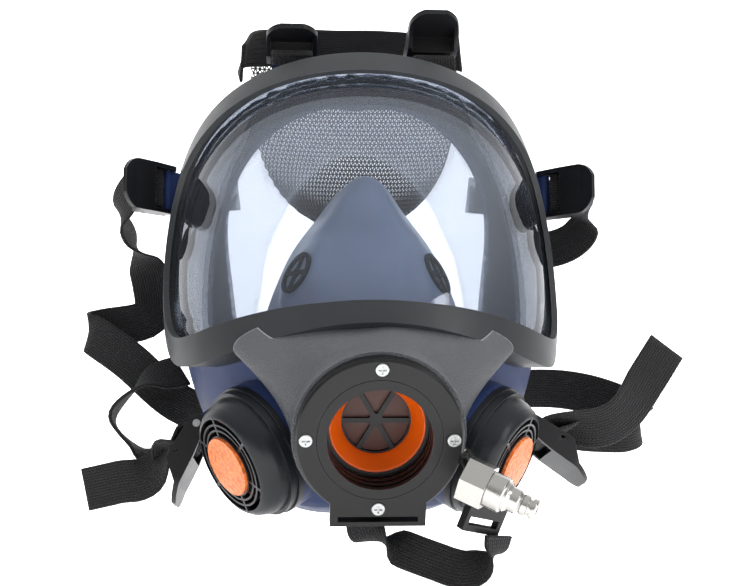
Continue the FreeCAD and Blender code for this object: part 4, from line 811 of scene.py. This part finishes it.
def make_camera():
    data = bpy.data.cameras.new("camera")
    data.lens = CAMERA_LENS
    data.sensor_width = CAMERA_SENSOR
    data.clip_start = CAMERA_NEAR
    camera = bpy.data.objects.new("camera", data)
    bpy.context.scene.collection.objects.link(camera)
    camera.location = CAMERA_AT
    camera.rotation_euler = (math.radians(90 + CAMERA_PITCH), 0, math.radians(-CAMERA_TURN))
    bpy.context.scene.camera = camera


MIDDLE = (0, 0.05, 0.05)
# Name, place, aim, (width, height), power, seen in reflections.
LIGHTS = [
    ("key", (0.35, -0.45, 0.95), MIDDLE, (0.5, 0.5), 7.0, False),
    ("window", (0.62, -0.50, 0.26), (0.02, 0.06, 0.1), (0.16, 0.34), 1.6, True),
    ("fill", (-0.8, -0.5, 0.4), MIDDLE, (0.5, 0.5), 1.4, False),
    ("backdrop", (0, 0.5, 1.4), (0, 1.2, 0.3), (1.5, 1.5), 30.0, False),
]


def make_lights():
    for name, location, target, (width, height), power, glossy in LIGHTS:
        data = bpy.data.lights.new(name, "AREA")
        data.energy = power
        data.shape = "RECTANGLE"
        data.size = width
        data.size_y = height
        lamp = bpy.data.objects.new(name, data)
        lamp.location = location
        direction = Vector(target) - Vector(location)
        lamp.rotation_euler = direction.to_track_quat("-Z", "Y").to_euler()
        lamp.visible_glossy = glossy
        bpy.context.scene.collection.objects.link(lamp)


# The floor under the object, which bends up into a backdrop.
FLOOR_GAP = 0.004
FLOOR_HALF = 3.0
BACKDROP_AT = 1.6
BACKDROP_BEND = 0.6
BEND_STEPS = 8
PAPER_COLOR = (0.93, 0.93, 0.935)
PAPER_GLOW = 0.65


def make_floor():
    floor_at = CAD_BOX[0][2] - FLOOR_GAP
    paper = material("paper", PAPER_COLOR, 0.9)
    shader_of(paper).inputs["Emission Color"].default_value = (1, 1, 1, 1)
    shader_of(paper).inputs["Emission Strength"].default_value = PAPER_GLOW
    grain(paper, 300.0, detail=2.0, strength=0.05, depth=0.1)
    bend_at = BACKDROP_AT - BACKDROP_BEND
    profile = [(-FLOOR_HALF, floor_at), (bend_at, floor_at)]
    for step in range(1, BEND_STEPS + 1):
        angle = math.pi / 2 * step / BEND_STEPS
        profile.append((bend_at + BACKDROP_BEND * math.sin(angle),
                        floor_at + BACKDROP_BEND * (1 - math.cos(angle))))
    profile.append((BACKDROP_AT, floor_at + FLOOR_HALF))
    verts = [Vector((x, y, z)) for y, z in profile for x in (-FLOOR_HALF, FLOOR_HALF)]
    faces = [(2 * k, 2 * k + 1, 2 * k + 3, 2 * k + 2) for k in range(len(profile) - 1)]
    mesh_object("floor", verts, faces, paper)


# World brightness from straight down to straight up: a dim room in front, a light ceiling.
WORLD_STOPS = [(0.0, 0.10), (0.48, 0.10), (0.62, 0.42), (0.80, 0.85)]


def make_world():
    """The room as reflections and shadows see it; the camera itself sees plain white."""
    world = bpy.data.worlds.new("studio")
    world.use_nodes = True
    direction = add(world, "ShaderNodeTexCoord")
    split = add(world, "ShaderNodeSeparateXYZ")
    height = add(world, "ShaderNodeMapRange")
    height.inputs["From Min"].default_value = -1.0
    link(world, direction.outputs["Generated"], split.inputs[0])
    link(world, split.outputs[2], height.inputs["Value"])
    stops = [(position, (value, value, value)) for position, value in WORLD_STOPS]
    shade = ramp(world, height.outputs[0], stops)
    seen = add(world, "ShaderNodeLightPath")
    backdrop = add(world, "ShaderNodeMix", data_type="RGBA")
    backdrop.inputs[MIX_SECOND].default_value = (1, 1, 1, 1)
    link(world, seen.outputs["Is Camera Ray"], backdrop.inputs[MIX_FACTOR])
    link(world, shade, backdrop.inputs[MIX_FIRST])
    link(world, backdrop.outputs[MIX_RESULT], world.node_tree.nodes["Background"].inputs[0])
    bpy.context.scene.world = world
    bpy.context.scene.view_settings.view_transform = "Standard"


dress_cad_nodes()
make_straps(knit_webbing())
make_net()
make_nose_cup()
make_camera()
make_floor()
make_world()
make_lights()
